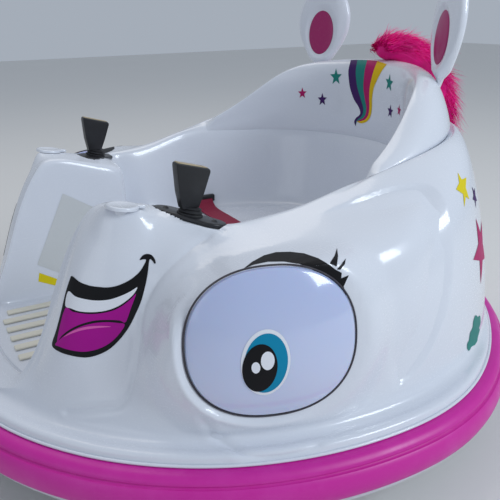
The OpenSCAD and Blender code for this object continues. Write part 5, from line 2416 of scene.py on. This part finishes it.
    def lay(self, sticker: Sticker) -> Form:
        """Lay a sticker on its surface, cut finer where it turns away from the caster.

        Args:
            sticker: The shape in its own plane.

        Returns:
            The sticker as a thin open sheet, just over the surface.
        """
        form = self._flat(sticker)
        lift = (self.lift_first + self.lift_layer * sticker.layer) * MM
        for _ in range(self.finer_passes):
            places = {vert: self._cast(sticker, vert.co.x, vert.co.y) for vert in form.bm.verts}
            ends = [(edge, [places[vert] for vert in edge.verts]) for edge in form.bm.edges]
            long = [edge for edge, (one, two) in ends
                    if one and two and (one[0] - two[0]).length > self.longest * MM]
            if not long:
                break
            bmesh.ops.subdivide_edges(form.bm, edges=long, cuts=1)
        bmesh.ops.triangulate(form.bm, faces=form.bm.faces[:])
        lost = []
        facing = {}
        for vert in form.bm.verts:
            found = self._cast(sticker, vert.co.x, vert.co.y)
            if found is None:
                lost.append(vert)
                continue
            facing[vert] = found[1]
            vert.co = found[0] + found[1] * lift
        bmesh.ops.delete(form.bm, geom=lost, context="VERTS")
        torn = [face for face in form.bm.faces
                if max(edge.calc_length() for edge in face.edges) > 3 * self.longest * MM]
        bmesh.ops.delete(form.bm, geom=torn, context="FACES")
        for face in form.bm.faces:
            face.normal_update()
            if face.normal.dot(facing[face.verts[0]]) < 0:
                face.normal_flip()
        return form

    def build(self) -> None:
        """Lay every sticker, on both sides where it has a twin."""
        for sticker in self.listed():
            form = self.lay(sticker)
            if sticker.both_sides:
                form.pair(sticker.name, sticker.paint, sharp_deg=180.0)
            else:
                form.piece(sticker.name, sticker.paint, sharp_deg=180.0)


# What stays as the CAD built it


@dataclass(frozen=True)
class PlainNodes:
    """CAD nodes that are shown as they are, with the finish of each start of a name."""

    finishes: Tuple[Tuple[str, Paint], ...] = (
        ("base_tray", Paint.TRAY), ("battery", Paint.BOX), ("gearbox", Paint.BOX),
        ("drive_wheel", Paint.WHEEL), ("caster_cup", Paint.TRAY), ("caster_fork", Paint.STEEL),
        ("caster_wheel", Paint.WHEEL))

    def dress(self, nodes: Mapping[str, bpy.types.Object]) -> None:
        """Give each node its material.

        Args:
            nodes: The CAD nodes by name.
        """
        for start, paint in self.finishes:
            for name in sorted(nodes):
                if name.startswith(start):
                    mesh = nodes[name].data
                    mesh.materials.clear()
                    mesh.materials.append(paint.material())
                    LOG.info("%s: CAD node in %s", name, paint.name.lower())


def main() -> None:
    """Build the car around its frame."""
    logging.basicConfig(level=logging.INFO, format="%(message)s")
    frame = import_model()
    low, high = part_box("drive_wheel_left")
    Form.plan_middle = (low.y + high.y) / 2
    camera = PhotoCamera()
    camera.build()
    Studio().build()
    seats = (Seat(bezel_frame(), straight=44.0, radius=14.0, depth=0.4),
             Seat(cap_frame(), straight=0.0, radius=14.5, depth=0.3, boss=15.0, fill=9.0))
    body = MouldedBody(camera, seats)
    trees = {Target.BODY: body.build(), Target.BACKREST: Backrest(body).build(),
             Target.LENS: Eyes().build()}
    BumperRing(body).build()
    Ears().build()
    Mane().build()
    Joysticks().build()
    ConsoleCaps().build()
    LapBelt().build()
    Footwell().build()
    Stickers(camera, trees).build()
    PlainNodes().dress(frame["nodes"])


if __name__ == "__main__":
    main()
